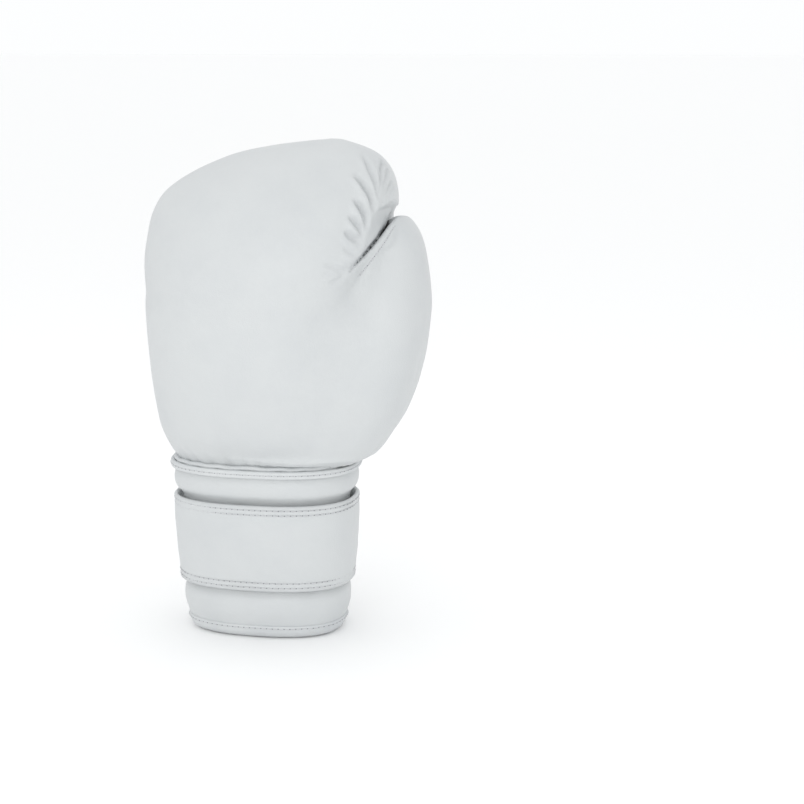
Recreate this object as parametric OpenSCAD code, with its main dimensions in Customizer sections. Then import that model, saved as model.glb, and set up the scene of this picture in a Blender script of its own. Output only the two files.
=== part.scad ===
// Left-hand boxing glove with a hook-and-loop wrist strap and an attached thumb.
// Frame: +Z from the cuff rim to the knuckles, -Y the back of the hand, +Y the palm, +X the thumb side.
// The origin is the middle of the cuff rim, on the plane that the glove stands on.

/* [Overall] */
// Length from the cuff rim to the top of the knuckles
glove_len = 290; // [260:2:320]
// Width across the knuckles, without the thumb
mitt_w = 140; // [120:1:156]
// Height of the cuff, from its rim to the wrist seam
cuff_h = 104; // [90:1:120]

/* [Mitt] */
// How far the back of the hand stands off the middle plane
back_reach = 62; // [52:1:74]
// How far the finger roll stands off the middle plane, towards the palm
roll_reach = 66; // [56:1:78]
// How far the palm stands off the middle plane
palm_reach = 36; // [32:0.5:42]
// Height of the lower edge of the finger roll
roll_z = 200; // [186:1:214]
// Sideways lean of the knuckles, towards the thumb
knuckle_lean = 4; // [0:0.5:8]
// How far the mitt stands towards the thumb, from the middle of the cuff
mitt_shift = 3; // [0:0.5:6]

/* [Hand compartment] */
// Width of the hand compartment
hand_w = 82; // [72:1:90]
// Radius of the grip bar
grip_r = 9.5; // [7:0.5:11]
// Length of the grip bar
grip_len = 66; // [50:1:76]
// Diameter of the vent hole in the palm
vent_d = 3.2; // [2:0.2:5]

/* [Thumb] */
// How far the thumb stands off the middle plane
thumb_reach = 98; // [86:1:112]
// Height of the thumb's tip
thumb_top = 251; // [240:1:262]
// How far the thumb's root stands off the middle plane, towards the back of the hand
thumb_back = 38; // [24:1:46]
// Diameter of the thumb's pocket
thumb_pocket_d = 21; // [17:0.5:23]
// Width of the tether that ties the thumb to the finger roll
tether_w = 12; // [8:1:16]

/* [Cuff] */
// Width of the cuff at its widest
cuff_w = 109; // [98:1:120]
// Depth of the cuff at its widest
cuff_d = 80; // [70:1:90]
// How much narrower the cuff is at its rim, on each side
cuff_taper = 8; // [2:0.5:12]
// Thickness of the cuff's foam
cuff_foam_t = 6.5; // [4:0.5:8]
// Height of the binding on the rim and along the slit
binding_w = 6; // [4:0.5:9]
// Width of the palm-side slit
slit_w = 4; // [2:0.5:8]
// Sideways place of the slit
slit_x = 5; // [-4:1:8]
// Height of the top of the slit
slit_top = 152; // [130:1:166]
// Radius of the round lower corner of each flap
flap_corner_r = 27; // [16:1:30]
// How far the flaps stay above the rim's plane
flap_lift = 1.5; // [1:0.5:4]
// Half width of the reinforcing patch round the slit
patch_half_w = 27; // [20:1:28]

/* [Strap] */
// Width of the wrist strap
strap_w = 52; // [40:1:56]
// Height of the strap's lower edge
strap_z = 30; // [24:1:34]
// Thickness of the strap's padded core
strap_core_t = 1.6; // [1:0.1:2.4]
// Thickness of each half of the hook and loop fastener
fastener_t = 1.0; // [0.8:0.1:1.2]

/* [Materials] */
// Thickness of the leather
leather_t = 1.4; // [1:0.1:1.8]
// Thickness of the lining
lining_t = 1.0; // [0.8:0.1:1.4]

/* [Hidden] */

sides = 28;          // corners of each ring of the soft shapes
steps = 2;           // rings laid between two stations
squareness = 2.5;    // exponent of the oval sections
gap = 0.1;           // clearance between layers that lie on each other
joint_gap = 0.5;     // clearance between bodies that move apart
far = 400;           // longer than anything in the glove
strap_gap = 0.3;     // between the two halves of the fastener
thumb_gap = 0.7;     // between the thumb and the mitt
tether_t = 2.4;      // thickness of the thumb's tether

white = [0.92, 0.92, 0.93];
foam_grey = [0.62, 0.62, 0.60];
lining_black = [0.10, 0.10, 0.11];
tape_white = [0.85, 0.85, 0.86];

// ---- smooth lofts -------------------------------------------------------------------------------

function mid_station(a, b, c, d, t) =
    0.5 * (2*b + (c - a)*t + (2*a - 5*b + 4*c - d)*t*t + (3*b - a - 3*c + d)*t*t*t);

// The stations with `steps` rings between each two, on a curve that passes through them all.
function smooth(st) =
    let (last = len(st) - 1)
    [for (i = [0:last - 1], k = [0:steps - 1])
        mid_station(st[max(i - 1, 0)], st[i], st[i + 1], st[min(i + 2, last)], k / steps),
     st[last]];

function oval_point(hw, hd, a) = [
    hw * sign(cos(a)) * pow(abs(cos(a)), 2 / squareness),
    hd * sign(sin(a)) * pow(abs(sin(a)), 2 / squareness)];

// A flat oval ring at height z between the four edges given.
function ring(z, xl, xr, yb, yp, inset) =
    let (hw = max((xr - xl)/2 - inset, 0.6), hd = max((yp - yb)/2 - inset, 0.6))
    [for (i = [0:sides - 1])
        let (p = oval_point(hw, hd, 360 * i / sides))
        [(xl + xr)/2 + p[0], (yb + yp)/2 + p[1], z]];

// A closed solid through rings that all have the same number of corners.
module loft(rings) {
    n = len(rings[0]);
    m = len(rings);
    walls = [for (k = [0:m - 2], i = [0:n - 1])
        let (j = (i + 1) % n, lo = k*n, hi = (k + 1)*n)
        each [[lo + i, hi + i, hi + j], [lo + i, hi + j, lo + j]]];
    caps = [[for (i = [0:n - 1]) i], [for (i = [n - 1:-1:0]) (m - 1)*n + i]];
    polyhedron(points = [for (r = rings) each r], faces = concat(walls, caps), convexity = 8);
}

// ---- the soft outer shapes ----------------------------------------------------------------------

mitt_h = glove_len - cuff_h;
dome_h = glove_len - roll_z;
seam_in_x = 3.5;         // how far the wrist seam stands in from the cuff's width, on each side
seam_in_y = 3;           // how far it stands in from the cuff's depth
seam_hw = cuff_w/2 - seam_in_x;
seam_hd = cuff_d/2 - seam_in_y;
mitt_hw = mitt_w/2;
mitt_x = mitt_shift;
lean_x = mitt_shift + knuckle_lean;

// height, little-finger edge, thumb-side edge, back, palm
mitt_stations = [
    [cuff_h,                -seam_hw,               seam_hw,                -seam_hd,            seam_hd],
    [cuff_h + 9,            mitt_x - 0.84*mitt_hw,  mitt_x + 0.80*mitt_hw,  -0.76*back_reach,    palm_reach + 2],
    [(cuff_h + roll_z)/2,   mitt_x - 0.95*mitt_hw,  mitt_x + 0.83*mitt_hw,  -0.96*back_reach,    palm_reach],
    [roll_z - 6,            mitt_x - 0.98*mitt_hw,  mitt_x + 0.83*mitt_hw,  -back_reach,         palm_reach - 2],
    [roll_z + 4,            mitt_x - 0.99*mitt_hw,  mitt_x + 0.87*mitt_hw,  -back_reach,         0.76*roll_reach],
    [roll_z + 0.31*dome_h,  mitt_x - mitt_hw,       lean_x + 0.93*mitt_hw,  -0.97*back_reach,    roll_reach],
    [roll_z + 0.65*dome_h,  mitt_x - 0.84*mitt_hw,  lean_x + 0.99*mitt_hw,  -0.77*back_reach,    0.94*roll_reach],
    [roll_z + 0.88*dome_h,  mitt_x - 0.32*mitt_hw,  lean_x + 0.87*mitt_hw,  -0.39*back_reach,    0.66*roll_reach],
    [glove_len,             mitt_x + 0.46*mitt_hw,  lean_x + 0.55*mitt_hw,  0.05*back_reach,     0.24*roll_reach]];

// The whole mitt without the thumb, with its surface moved in by `inset`.
module mitt(inset = 0) {
    loft([for (s = smooth(mitt_stations))
        ring(cuff_h + (s[0] - cuff_h)*(1 - inset/mitt_h), s[1], s[2], s[3], s[4], inset)]);
}

thumb_foot = 4;          // how far the thumb's root stays above the wrist seam
thumb_z = cuff_h + thumb_foot;
thumb_h = thumb_top - thumb_z;

// height, inner edge, outer edge, back, palm
thumb_stations = [
    [thumb_z,                 seam_hw - 18,      seam_hw + 6,           -20,                26],
    [thumb_z + 6,             seam_hw - 18,      0.75*thumb_reach,      -thumb_back + 8,    32],
    [thumb_z + 0.27*thumb_h,  seam_hw - 14,      0.92*thumb_reach,      -thumb_back,        36],
    [thumb_z + 0.58*thumb_h,  seam_hw - 8,       thumb_reach,           -thumb_back + 2,    38],
    [thumb_z + 0.83*thumb_h,  seam_hw - 4,       0.96*thumb_reach,      -0.6*thumb_back,    36],
    [thumb_z + 0.95*thumb_h,  seam_hw + 4,       0.88*thumb_reach,      -0.22*thumb_back,   30],
    [thumb_top,               0.71*thumb_reach,  0.77*thumb_reach,      4,                  18]];

// The thumb as a whole, before it is cut to lie against the mitt.
module thumb(inset = 0) {
    loft([for (s = smooth(thumb_stations))
        ring(thumb_z + inset + (s[0] - thumb_z)*(1 - 2*inset/thumb_h), s[1], s[2], s[3], s[4], inset)]);
}

// ---- the spaces inside --------------------------------------------------------------------------

hand_hw = hand_w/2;
grip_y = 18;             // depth of the grip bar
grip_lift = 15;          // how far the grip bar lies above the finger roll's lower edge
grip_bed = 4;            // foam between the grip bar and the finger space
finger_half = 13;        // half thickness of the finger space at its bend
grip_z = roll_z + grip_lift;
pocket_bend = grip_r + grip_bed + finger_half;    // from the bar's middle to that of the finger space

// depth, height, half width, half thickness, tilt of the section
hand_stations = [
    [0,                      cuff_h - 6,              hand_hw - 1,   27,   0],
    [2,                      cuff_h + 26,             hand_hw + 1,   24,   0],
    [-2,                     (cuff_h + roll_z)/2 + 10, hand_hw + 1,  19.5, 0],
    [grip_y - pocket_bend,   grip_z - 10,             hand_hw,       14.5, 0],
    [grip_y - 0.75*pocket_bend, grip_z + 0.66*pocket_bend, hand_hw - 2, 13, 42],
    [grip_y,                 grip_z + pocket_bend,    hand_hw - 3,   12.5, 90],
    [grip_y + 0.75*pocket_bend, grip_z + 0.66*pocket_bend, hand_hw - 5, 11.5, 138],
    [grip_y + pocket_bend,   grip_z + 4,              hand_hw - 8,   10,   180]];

// The hand compartment: up the palm, over the grip bar and down into the finger roll.
module hand_space(grow = 0) {
    loft([for (s = smooth(hand_stations))
        [for (i = [0:sides - 1])
            let (p = oval_point(s[2] + grow, s[3] + grow, 360 * i / sides))
            [p[0] + knuckle_lean/2, s[0] + p[1]*cos(s[4]), s[1] - p[1]*sin(s[4])]]]);
}

thumb_r = thumb_pocket_d/2;
thumb_wall = 8;          // padding outside the thumb's pocket
pocket_x = thumb_reach - thumb_r - thumb_wall;

// height, middle's sideways place, middle's depth, half width, half thickness
thumb_pocket_stations = [
    [cuff_h + 14,                hand_hw - 19,     4,  thumb_r + 1,   thumb_r + 2],
    [thumb_z + 0.24*thumb_h,     hand_hw + 7,      6,  thumb_r + 1.5, thumb_r + 3],
    [thumb_z + 0.45*thumb_h,     pocket_x - 10,    8,  thumb_r + 0.5, thumb_r + 2],
    [thumb_z + 0.68*thumb_h,     pocket_x,         10, thumb_r - 0.5, thumb_r + 1],
    [thumb_z + 0.83*thumb_h,     pocket_x + 1,     12, thumb_r - 3,   thumb_r - 2]];

// The thumb's pocket, which opens into the side of the hand compartment.
module thumb_space(grow = 0) {
    loft([for (s = smooth(thumb_pocket_stations))
        ring(s[0] + (s[0] > thumb_z + 0.8*thumb_h ? grow : 0), s[1] - s[3] - grow, s[1] + s[3] + grow,
             s[2] - s[4] - grow, s[2] + s[4] + grow, 0)]);
}

// Where the mitt's foam is cut into blocks.
side_lap = 5;            // how far the side blocks reach over the hand compartment
heel_cut = knuckle_lean/2 - hand_hw + side_lap;
thumb_cut = knuckle_lean/2 + hand_hw - side_lap;
foam_foot = cuff_h + 2*leather_t;
palm_cut = roll_z - 8;   // where the palm's foam meets the finger roll's

vent_x = slit_x + 2;
vent_z = roll_z - 9;

module vent_hole() {
    translate([vent_x, 0, vent_z])
        rotate([-90, 0, 0])
            cylinder(d = vent_d, h = far/4, $fn = 32);
}

// ---- regions that split the layers into panels --------------------------------------------------

palm_heel_in = 23;        // how far the palm panel stays inside the wrist seam, little-finger side
palm_thumb_in = 10;       // and on the thumb side
palm_heel_x = palm_heel_in - seam_hw;
palm_thumb_x = seam_hw - palm_thumb_in;
palm_curve = 36;          // radius of the panel's upper corner, where it widens under the roll
palm_top = roll_z + 10;   // where the panel meets the finger roll
heel_top = roll_z - 5;    // where the leather of the little-finger side reaches over it
palm_from_y = 12;         // the panel lies on the palm side of this depth
panel_spare = 40;         // how far the outline is carried past the mitt's edges

// Outline of the palm panel, seen from the palm. `edge` widens it.
module palm_outline(edge = 0) {
    cx = palm_heel_x - palm_curve;
    cz = heel_top - palm_curve;
    polygon(concat(
        [[palm_heel_x - edge, cuff_h - panel_spare]],
        [for (a = [0:10:90]) [cx + (palm_curve - edge)*cos(a), cz + (palm_curve - edge)*sin(a)]],
        [[cx - panel_spare, heel_top - edge], [cx - panel_spare, palm_top + edge],
         [palm_thumb_x + edge, palm_top + edge], [palm_thumb_x + edge, cuff_h - panel_spare]]));
}

// The space in front of the palm plane, inside the palm panel's outline.
module palm_zone(edge = 0) {
    translate([0, far, 0])
        rotate([90, 0, 0])
            linear_extrude(height = far - palm_from_y)
                palm_outline(edge);
}

module slit_cut(extra = 0) {
    w = slit_w + 2*extra;
    translate([slit_x, far/2, slit_top - w/2])
        rotate([90, 0, 0])
            cylinder(d = w, h = far/2, $fn = 32);
    translate([slit_x - w/2, 0, -10])
        cube([w, far/2, slit_top - w/2 + 10]);
}

module above(z) {
    translate([-far/2, -far/2, z])
        cube([far, far, far]);
}

module between(z0, z1) {
    translate([-far/2, -far/2, z0])
        cube([far, far, z1 - z0]);
}

// ---- mitt ---------------------------------------------------------------------------------------

module mitt_shell() color(white) difference() {
    mitt();
    intersection() { mitt(leather_t); above(cuff_h - 1); }
    between(cuff_h - 1, cuff_h + gap);
    palm_zone();
    thumb_space(lining_t + gap);
}

module palm_panel() color(white) difference() {
    intersection() { mitt(); palm_zone(-gap); above(cuff_h + gap); }
    mitt(leather_t);
    slit_cut();
    vent_hole();
    thumb_space(lining_t + gap);
}

// A block of the mitt's foam between the planes given, cut to the spaces inside it.
module foam_block(x0, x1, y0, y1, z0, z1) {
    difference() {
        intersection() {
            mitt(leather_t + 2*gap);
            translate([x0 + gap, y0 + gap, z0 + gap])
                cube([x1 - x0 - 2*gap, y1 - y0 - 2*gap, z1 - z0 - 2*gap]);
        }
        inner_spaces();
    }
}

module inner_spaces() {
    hand_space(lining_t + gap);
    thumb_space(lining_t + gap);
    grip_hole(gap);
    slit_cut();
    vent_hole();
}

// What the fingers close round: the grip bar's bed, inside the bend of the hand compartment.
module core_block(grow = 0) {
    length = thumb_cut - heel_cut - 2*gap + 2*grow;
    translate([heel_cut + gap - grow, 0, 0]) {
        translate([0, grip_y, grip_z])
            rotate([0, 90, 0])
                cylinder(r = pocket_bend + grow, h = length, $fn = 64);
        translate([0, grip_y - pocket_bend - grow, palm_cut + gap - grow])
            cube([length, 2*pocket_bend + 2*grow, grip_z - palm_cut]);
    }
}

module core_foam() color(foam_grey) difference() {
    intersection() { mitt(leather_t + 2*gap); core_block(); above(palm_cut + gap); }
    inner_spaces();
}

module back_foam() color(foam_grey)
    foam_block(heel_cut, thumb_cut, -far, grip_y - pocket_bend, foam_foot, grip_z);
module palm_foam() color(foam_grey)
    foam_block(heel_cut, thumb_cut, grip_y - pocket_bend, far, foam_foot, palm_cut);
module knuckle_foam() color(foam_grey) difference() {
    foam_block(heel_cut, thumb_cut, -far, grip_y, grip_z, far);
    core_block(gap);
}
module roll_foam() color(foam_grey) difference() {
    foam_block(heel_cut, thumb_cut, grip_y, far, palm_cut, far);
    core_block(gap);
}
module heel_side_foam() color(foam_grey) foam_block(-far, heel_cut, -far, far, foam_foot, far);
module thumb_side_foam() color(foam_grey) foam_block(thumb_cut, far, -far, far, foam_foot, far);

module grip_hole(grow = 0) {
    translate([knuckle_lean/2 - grip_len/2 - grow, grip_y, grip_z])
        rotate([0, 90, 0])
            cylinder(r = grip_r + grow, h = grip_len + 2*grow, $fn = 48);
}

module grip_bar() color(foam_grey) grip_hole();

module hand_lining() color(lining_black) difference() {
    hand_space(lining_t);
    hand_space();
    thumb_space(lining_t + gap);
    between(cuff_h - 40, cuff_h + gap);
    slit_cut();
    vent_hole();
}

// ---- cuff ---------------------------------------------------------------------------------------

strap_top = strap_z + strap_w;
band_h = cuff_h - strap_top;      // height of the padded band above the strap
rim_in = 3.5;                     // how far the cuff's wall turns in at its rim
strap_top_in = 4.5;               // how far the cuff stands in at the strap's upper edge
welt_t = 1.4;                     // height of the welt on the wrist seam
welt_lift = 2;                    // how far the welt stands proud of the wrist seam

// height, how far the outside stands in from the cuff's greatest width
function cuff_stations() = [
    [0,                         cuff_taper + rim_in],
    [8,                         cuff_taper],
    [strap_z - 6,               cuff_taper - 3],
    [strap_z - 1,               cuff_taper - 0.5],
    [strap_top + 0.05*band_h,   strap_top_in],
    [strap_top + 0.27*band_h,   1],
    [strap_top + 0.64*band_h,   0],
    [cuff_h - welt_t - gap,     2]];

module cuff_body(inset = 0) {
    loft([for (s = cuff_stations())
        ring(s[0], -cuff_w/2 + s[1], cuff_w/2 - s[1], -cuff_d/2 + s[1], cuff_d/2 - s[1], inset)]);
}

// The cuff's wall between two depths below its outside.
module cuff_wall(outer, inner) {
    difference() {
        cuff_body(outer);
        wall_hollow(inner);
    }
}

// The inside of the wall, carried past both ends.
module wall_hollow(inner) {
    st = cuff_stations();
    top = st[len(st) - 1];
    loft(concat(
        [ring(-5, -cuff_w/2 + st[0][1], cuff_w/2 - st[0][1], -cuff_d/2 + st[0][1], cuff_d/2 - st[0][1], inner)],
        [for (s = st) ring(s[0], -cuff_w/2 + s[1], cuff_w/2 - s[1], -cuff_d/2 + s[1], cuff_d/2 - s[1], inner)],
        [ring(cuff_h + 5, -cuff_w/2 + top[1], cuff_w/2 - top[1], -cuff_d/2 + top[1], cuff_d/2 - top[1], inner)]));
}

foam_in = leather_t + gap;
foam_out = foam_in + cuff_foam_t;
wall_t = foam_out + gap + lining_t;
thumb_hinge_x = 38;      // where the thumb-side flap joins the cuff
heel_hinge_x = -37;      // where the heel-side flap joins the cuff
cuff_side_x = 30;        // where the foam of the cuff's back meets that of its sides

// The palm-side part of the cuff, which is cut into the two flaps.
module flap_zone(edge = 0) {
    translate([heel_hinge_x - edge, 0, -10])
        cube([thumb_hinge_x - heel_hinge_x + 2*edge, far/4, cuff_h + 10]);
}

module cuff_shell() color(white) difference() {
    intersection() { cuff_wall(0, leather_t); above(binding_w + gap); }
    flap_zone();
}

// A stretch of the cuff's foam between two sideways places.
module cuff_foam(x0, x1) {
    difference() {
        intersection() {
            cuff_wall(foam_in, foam_out);
            translate([x0 + gap, -far/2, binding_w + gap])
                cube([x1 - x0 - 2*gap, far, far]);
        }
        flap_zone();
    }
}

module cuff_back_foam() color(foam_grey) cuff_foam(-cuff_side_x, cuff_side_x);
module cuff_heel_foam() color(foam_grey) cuff_foam(-far, -cuff_side_x);
module cuff_thumb_foam() color(foam_grey) cuff_foam(cuff_side_x, far);

module cuff_lining() color(lining_black) difference() {
    intersection() { cuff_wall(foam_out + gap, wall_t); above(binding_w + gap); }
    flap_zone();
}

// A straight oval band with flat ends, so that its foot is one flat face.
module oval_band(z, h, hw, hd, t) {
    translate([0, 0, z])
        linear_extrude(height = h)
            difference() {
                polygon([for (i = [0:2*sides - 1]) oval_point(hw, hd, 180 * i / sides)]);
                polygon([for (i = [0:2*sides - 1]) oval_point(hw - t, hd - t, 180 * i / sides)]);
            }
}

binding_lift = 0.6;      // how far a binding stands proud of the wall on each side
binding_wrap = 2;        // how much thicker the rim's binding is than the wall

module cuff_binding() color(white) difference() {
    oval_band(0, binding_w, cuff_w/2 - cuff_taper + binding_lift, cuff_d/2 - cuff_taper + binding_lift,
              wall_t + binding_wrap);
    flap_zone();
}

module wrist_welt() color(white) difference() {
    oval_band(cuff_h - welt_t, welt_t, seam_hw + welt_lift, seam_hd + welt_lift, wall_t + welt_lift);
    translate([palm_heel_x, 0, 0])
        cube([palm_thumb_x - palm_heel_x, far/4, far]);
}

// ---- flaps of the cuff --------------------------------------------------------------------------

flap_drop = 3;           // how far the flaps stay below the wrist seam

// Outline of one flap seen from the palm: side is 1 on the thumb side and -1 on the heel side.
module flap_outline(side, inset) {
    hinge_x = side > 0 ? thumb_hinge_x : heel_hinge_x;
    edge_x = slit_x + side*(slit_w/2 + inset);
    bottom = flap_lift + inset;
    r = flap_corner_r - inset;
    polygon(concat(
        [[hinge_x - side*joint_gap, bottom]],
        [for (a = [0:10:90]) [edge_x + side*r*(1 - sin(a)), bottom + r*(1 - cos(a))]],
        [[edge_x, cuff_h - flap_drop], [hinge_x - side*joint_gap, cuff_h - flap_drop]]));
}

module flap_prism(side, inset = 0) {
    translate([0, far/4, 0])
        rotate([90, 0, 0])
            linear_extrude(height = far/4)
                flap_outline(side, inset);
}

module flap_layer(side, outer, inner, inset) {
    intersection() {
        cuff_wall(outer, inner);
        flap_prism(side, inset);
    }
}

// The binding wraps the edge of all the layers.
module flap_binding(side) {
    difference() {
        intersection() { cuff_wall(-binding_lift, wall_t + binding_lift); flap_prism(side, 0); }
        flap_prism(side, binding_w - gap);
    }
}

module thumb_flap_leather() color(white) flap_layer(1, 0, leather_t, binding_w);
module thumb_flap_foam() color(foam_grey) flap_layer(1, foam_in, foam_out, binding_w);
module thumb_flap_lining() color(lining_black) flap_layer(1, foam_out + gap, wall_t, binding_w);
module thumb_flap_binding() color(white) flap_binding(1);
module heel_flap_leather() color(white) flap_layer(-1, 0, leather_t, binding_w);
module heel_flap_foam() color(foam_grey) flap_layer(-1, foam_in, foam_out, binding_w);
module heel_flap_lining() color(lining_black) flap_layer(-1, foam_out + gap, wall_t, binding_w);
module heel_flap_binding() color(white) flap_binding(-1);

// ---- reinforcing patch round the slit -----------------------------------------------------------

patch_t = 1.0;
patch_lift = 0.8;                            // how far the strips on the flaps stand proud
patch_edge = 2;                              // how far the patch stays back from the slit
patch_z = slit_top - 8;                      // height of the middle of the patch's round top

module patch_shape() {
    translate([slit_x, patch_z])
        circle(r = patch_half_w, $fn = 64);
    translate([slit_x - patch_half_w, 0])
        square([2*patch_half_w, patch_z]);
}

module patch_prism() {
    translate([0, far/4, 0])
        rotate([90, 0, 0])
            linear_extrude(height = far/4)
                patch_shape();
}

module patch_arch() color(white) difference() {
    intersection() { mitt(-patch_t - gap); patch_prism(); above(cuff_h + 1); }
    mitt(-gap);
    slit_cut(patch_edge);
}

module patch_strip(side) {
    intersection() {
        cuff_wall(-patch_lift, -gap);
        patch_prism();
        flap_prism(side, binding_w + gap);
    }
}

module thumb_patch_strip() color(white) patch_strip(1);
module heel_patch_strip() color(white) patch_strip(-1);

// ---- strap --------------------------------------------------------------------------------------

strap_in = -2*fastener_t - strap_gap - gap;         // how far the strap's inside lies outside the cuff
strap_mid = strap_in - strap_core_t;
strap_out = strap_mid - leather_t;
root_from = 122;     // the sewn end, on the heel side of the palm
seat_to = 96;        // end of the seat that the strap is sewn down on
turn_side = 34;      // the fold on the palm side of the thumb
turn_back = -38;     // the fold on the back side of the thumb
strap_end = -194;    // the free end, round the little-finger side
fold_gap = 0.9;      // degrees left free on each side of a fold
strap_step = 6;      // degrees between the corners of the strap's curve
core_edge = 1.5;     // how far the strap's core stays inside the cover's edges
tape_edge = 3;       // how far the fastener stays inside the strap's edges

// A closed oval block that follows the cuff's taper, `off` inside the cuff's greatest outline.
module strap_oval(off, z0, z1) {
    low = cuff_stations()[3][1];
    high = cuff_stations()[4][1];
    loft([for (end = [[z0, low], [strap_z, low], [strap_z + strap_w, high], [z1, high]])
        [for (i = [0:360/strap_step - 1])
            let (p = oval_point(cuff_w/2 - end[1] - off, cuff_d/2 - end[1] - off, i*strap_step))
            [p[0], p[1], end[0]]]]);
}

// The directions between two of the oval's angles, all the way up.
module strap_sector(a0, a1) {
    linear_extrude(height = far/2)
        polygon(concat([[0, 0]], [for (i = [0:8])
            let (p = oval_point(cuff_w, cuff_d, a1 + (a0 - a1)*i/8)) far/4 * p / norm(p)]));
}

// A stretch of strap from the greater angle down to the lesser one.
module strap_piece(a0, a1, inner, outer, edge = 0) {
    intersection() {
        difference() {
            strap_oval(outer, strap_z - 2, strap_z + strap_w + 2);
            strap_oval(inner, strap_z - 4, strap_z + strap_w + 4);
        }
        between(strap_z + edge, strap_z + strap_w - edge);
        strap_sector(a0, a1);
    }
}

module strap_root_cover() color(white) strap_piece(root_from, turn_side + fold_gap, strap_mid, strap_out);
module strap_root_core() color(foam_grey)
    strap_piece(root_from, turn_side + fold_gap, strap_in, strap_mid + gap, core_edge);
module strap_seat() color(white) strap_piece(root_from, seat_to, -patch_lift - 2*gap, strap_in + gap, core_edge);
module strap_side_cover() color(white)
    strap_piece(turn_side - fold_gap, turn_back + fold_gap, strap_mid, strap_out);
module strap_side_core() color(foam_grey)
    strap_piece(turn_side - fold_gap, turn_back + fold_gap, strap_in, strap_mid + gap, core_edge);
module strap_back_cover() color(white) strap_piece(turn_back - fold_gap, strap_end, strap_mid, strap_out);
module strap_back_core() color(foam_grey)
    strap_piece(turn_back - fold_gap, strap_end, strap_in, strap_mid + gap, core_edge);

fastener_from = -96;
fastener_to = -186;

module hook_patch() color(tape_white)
    strap_piece(fastener_from, fastener_to, strap_in + fastener_t, strap_in + gap, tape_edge);
module loop_patch() color(tape_white)
    strap_piece(fastener_from, fastener_to, -3*gap, -gap - fastener_t, tape_edge);

// ---- thumb --------------------------------------------------------------------------------------

module thumb_shell() color(white) difference() {
    thumb();
    thumb(leather_t);
    mitt(-thumb_gap - leather_t - gap);
    thumb_space(lining_t + gap);
    tether_slot();
}

module thumb_inner_panel() color(white) difference() {
    intersection() { thumb(gap); mitt(-thumb_gap - leather_t); }
    mitt(-thumb_gap);
    thumb_space(lining_t + gap);
    tether_slot();
}

// The sleeve that carries the thumb's pocket through the mitt's foam.
module thumb_gusset() color(lining_black) difference() {
    intersection() { thumb_space(lining_t); mitt(leather_t + gap); }
    thumb_space();
    hand_space(lining_t + gap);
}

module thumb_foam() color(foam_grey) difference() {
    thumb(leather_t + gap);
    mitt(-thumb_gap - leather_t - gap);
    thumb_space(lining_t + gap);
    tether_slot();
}

module thumb_lining() color(lining_black) difference() {
    thumb_space(lining_t);
    thumb_space();
    mitt(-thumb_gap);
    tether_slot();
}

tether_z = thumb_top - 12;
tether_x = lean_x + 0.87*mitt_hw;
tether_y = 20;           // depth of the tether's middle
tether_reach = 14;       // how far the tether reaches into the thumb
tether_root = 10;        // how far it reaches back to the mitt's leather
thumb_drop = 3;          // how far the thumb comes down on the tether as it opens

module thumb_tether() color(white) difference() {
    translate([tether_x - tether_root, tether_y - tether_w/2, tether_z])
        cube([tether_reach + tether_root, tether_w, tether_t]);
    mitt(-gap);
}

module tether_slot() {
    translate([tether_x - 2*tether_root, tether_y - tether_w/2 - joint_gap, tether_z - joint_gap])
        cube([tether_reach + 2*tether_root + joint_gap, tether_w + 2*joint_gap,
              tether_t + 2*joint_gap + thumb_drop]);
}

// ---- nodes --------------------------------------------------------------------------------------

mitt_shell();
palm_panel();
back_foam();
palm_foam();
core_foam();
roll_foam();
knuckle_foam();
heel_side_foam();
thumb_side_foam();
grip_bar();
hand_lining();
thumb_gusset();
patch_arch();
wrist_welt();
cuff_shell();
cuff_back_foam();
cuff_heel_foam();
cuff_thumb_foam();
cuff_lining();
cuff_binding();
loop_patch();
thumb_tether();
thumb_shell();
thumb_inner_panel();
thumb_foam();
thumb_lining();
thumb_flap_leather();
thumb_flap_foam();
thumb_flap_lining();
thumb_flap_binding();
thumb_patch_strip();
heel_flap_leather();
heel_flap_foam();
heel_flap_lining();
heel_flap_binding();
heel_patch_strip();
strap_seat();
strap_root_cover();
strap_root_core();
strap_side_cover();
strap_side_core();
strap_back_cover();
strap_back_core();
hook_patch();
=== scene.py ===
import math

import bmesh
import bpy
import numpy as np
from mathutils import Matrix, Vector
from mathutils.bvhtree import BVHTree


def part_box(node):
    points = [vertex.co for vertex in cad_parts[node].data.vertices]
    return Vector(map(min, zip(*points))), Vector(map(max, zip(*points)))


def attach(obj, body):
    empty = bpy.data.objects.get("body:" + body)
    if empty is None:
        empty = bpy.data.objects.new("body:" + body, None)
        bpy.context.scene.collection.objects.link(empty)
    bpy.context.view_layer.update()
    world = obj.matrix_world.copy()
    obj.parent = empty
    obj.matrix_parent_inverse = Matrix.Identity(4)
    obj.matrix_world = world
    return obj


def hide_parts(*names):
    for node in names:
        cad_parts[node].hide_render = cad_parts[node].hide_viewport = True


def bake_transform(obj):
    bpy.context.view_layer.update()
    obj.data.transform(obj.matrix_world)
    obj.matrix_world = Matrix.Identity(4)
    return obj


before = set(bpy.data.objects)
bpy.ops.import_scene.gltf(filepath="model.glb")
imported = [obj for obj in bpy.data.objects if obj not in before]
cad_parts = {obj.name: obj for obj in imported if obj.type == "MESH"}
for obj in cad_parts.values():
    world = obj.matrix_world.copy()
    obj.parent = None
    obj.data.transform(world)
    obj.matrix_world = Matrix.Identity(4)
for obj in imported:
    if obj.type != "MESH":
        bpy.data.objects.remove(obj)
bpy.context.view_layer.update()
mm = 0.001  # the shapes below are worked out in millimetres


# sizes taken from the frame

def nodeBox(*names):
    corners = [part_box(name) for name in names]
    low = np.min([np.array(c[0]) for c in corners], axis=0) / mm
    high = np.max([np.array(c[1]) for c in corners], axis=0) / mm
    return low, high


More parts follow.
